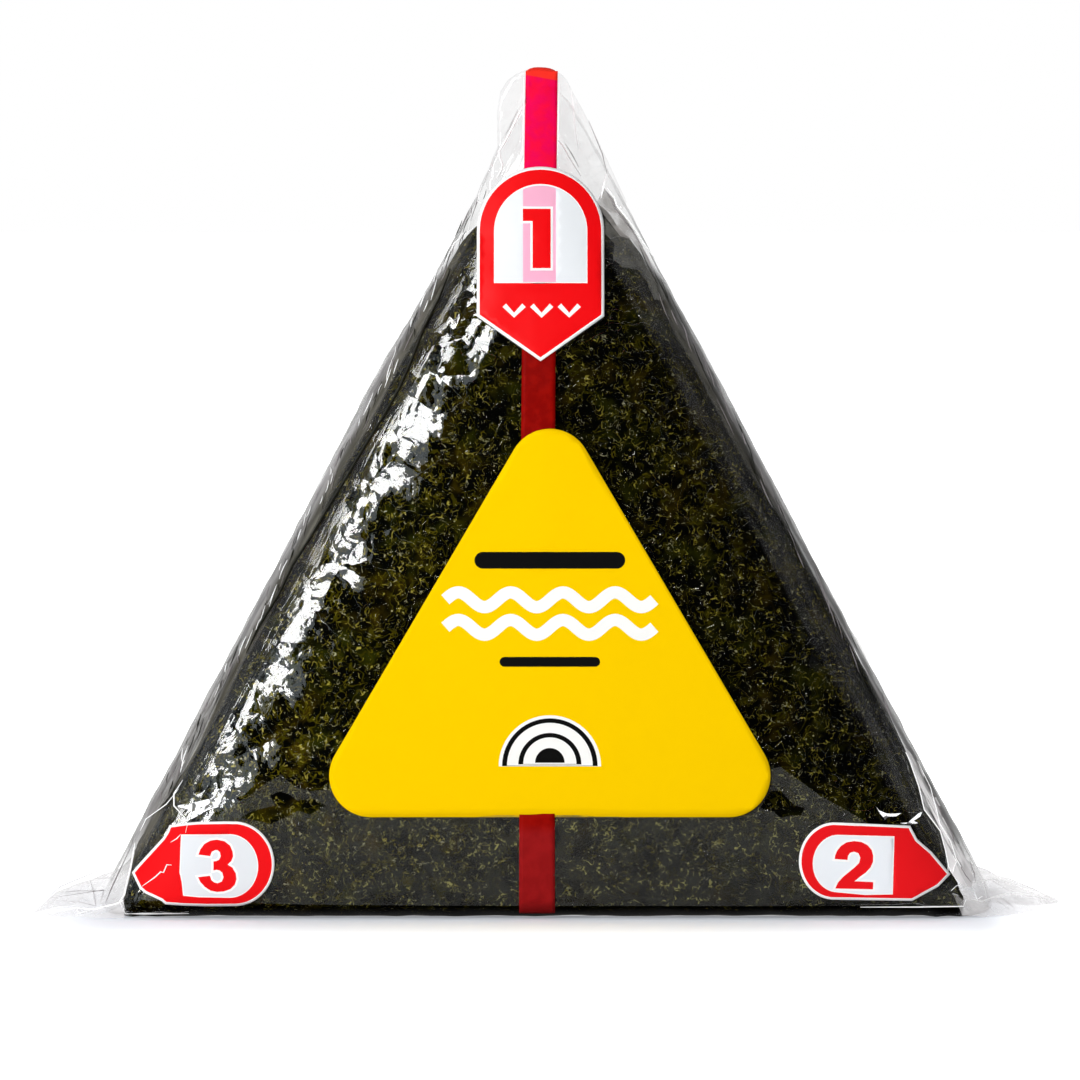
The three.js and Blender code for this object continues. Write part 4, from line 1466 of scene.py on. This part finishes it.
def softbox(name, place, size, radiance, mirrored=True, lighting=True):
    """An area light of the given brightness, turned to face the pack."""
    lamp = bpy.data.lights.new(name, "AREA")
    lamp.shape = "RECTANGLE"
    lamp.size, lamp.size_y = size
    lamp.energy = radiance * math.pi * size[0] * size[1]
    light = bpy.data.objects.new(name, lamp)
    light.location = place
    light.rotation_euler = (Vector(place) - PACK_MIDDLE).to_track_quat("Z", "Y").to_euler()
    light.visible_glossy = mirrored
    light.visible_diffuse = lighting
    bpy.context.scene.collection.objects.link(light)
    return light


softbox("softbox_left", (-0.64, -0.97, 0.40), (0.42, 0.72), 12.0)
softbox("softbox_upper", (-0.62, -0.90, 0.92), (0.62, 0.56), 10.0, lighting=False)
halo = softbox("halo_left", (-0.68, -1.00, 0.26), (0.84, 1.80), 0.95, lighting=False)
halo.data.color = (0.86, 0.95, 1.0)
softbox("side_left", (-1.05, 0.60, 0.32), (0.8, 1.1), 0.75, mirrored=False)
softbox("side_right", (1.05, 0.55, 0.32), (0.8, 1.1), 0.55, mirrored=False)
softbox("fill_front", (0.0, -1.3, 0.6), (1.0, 0.8), 0.5, mirrored=False)
softbox("softbox_top", (0.0, 0.1, 1.3), (1.2, 1.0), 0.6)
softbox("back_left", (-0.7, 1.05, 0.5), (0.5, 1.0), 3.0, mirrored=False)
softbox("back_right", (0.7, 1.05, 0.5), (0.5, 1.0), 2.5, mirrored=False)


def studio_world():
    """A white backdrop for the camera. Film mirrors a bright back and patchy side walls."""
    world = bpy.data.worlds.new("studio")
    world.use_nodes = True
    tree = world.node_tree
    tree.nodes.clear()
    rays = put(tree, "LightPath").outputs
    soft = maths(tree, "MULTIPLY_ADD", rays["Is Diffuse Ray"], 0.18, rays["Is Camera Ray"])
    toward = put(tree, "TexCoord").outputs["Generated"]
    x, y, z = put(tree, "SeparateXYZ", {0: toward}).outputs
    backdrop = product(tree, spread(tree, y, 0.3, 0.9, 0.004, 0.72), spread(tree, z, -0.35, -0.1, 0.03, 1.0))
    patches = spread(tree, noise_at(tree, toward, 5.0, 2.0), 0.46, 0.57, 0.0, 0.36)
    sides = maths(tree, "ADD", spread(tree, x, -0.45, -0.75), spread(tree, x, 0.55, 0.85, 0.0, 0.25))
    wall_glow = product(tree, patches, sides, rays["Is Glossy Ray"])
    mirrored = maths(tree, "ADD", backdrop, wall_glow)
    strength = maths(tree, "MULTIPLY_ADD", rays["Is Glossy Ray"], mirrored, soft)
    bluish = maths(tree, "MULTIPLY", wall_glow, 4.0, clamp=True)
    tint = blend_colours(tree, bluish, (1, 1, 1, 1), (0.80, 0.93, 1, 1))
    background = put(tree, "Background", {"Color": tint, "Strength": strength})
    output = put(tree, "OutputWorld")
    tree.links.new(background.outputs[0], output.inputs["Surface"])
    bpy.context.scene.world = world


studio_world()

LENS = 500
SENSOR = 36
FRAME_WIDTH = 0.1107
CAMERA_TILT = math.radians(2.5)
CAMERA_AIM = Vector((-0.00067, 0, 0.03796))
distance = FRAME_WIDTH / SENSOR * LENS
lens = bpy.data.cameras.new("camera")
lens.lens = LENS
lens.sensor_width = SENSOR
lens.clip_end = 100
camera = bpy.data.objects.new("camera", lens)
camera.location = CAMERA_AIM + distance * Vector((0, -math.cos(CAMERA_TILT), math.sin(CAMERA_TILT)))
camera.rotation_euler = (math.pi / 2 - CAMERA_TILT, 0, 0)
bpy.context.scene.collection.objects.link(camera)
bpy.context.scene.camera = camera
bpy.context.scene.view_settings.view_transform = "Standard"
bpy.context.scene.cycles.transparent_max_bounces = 24
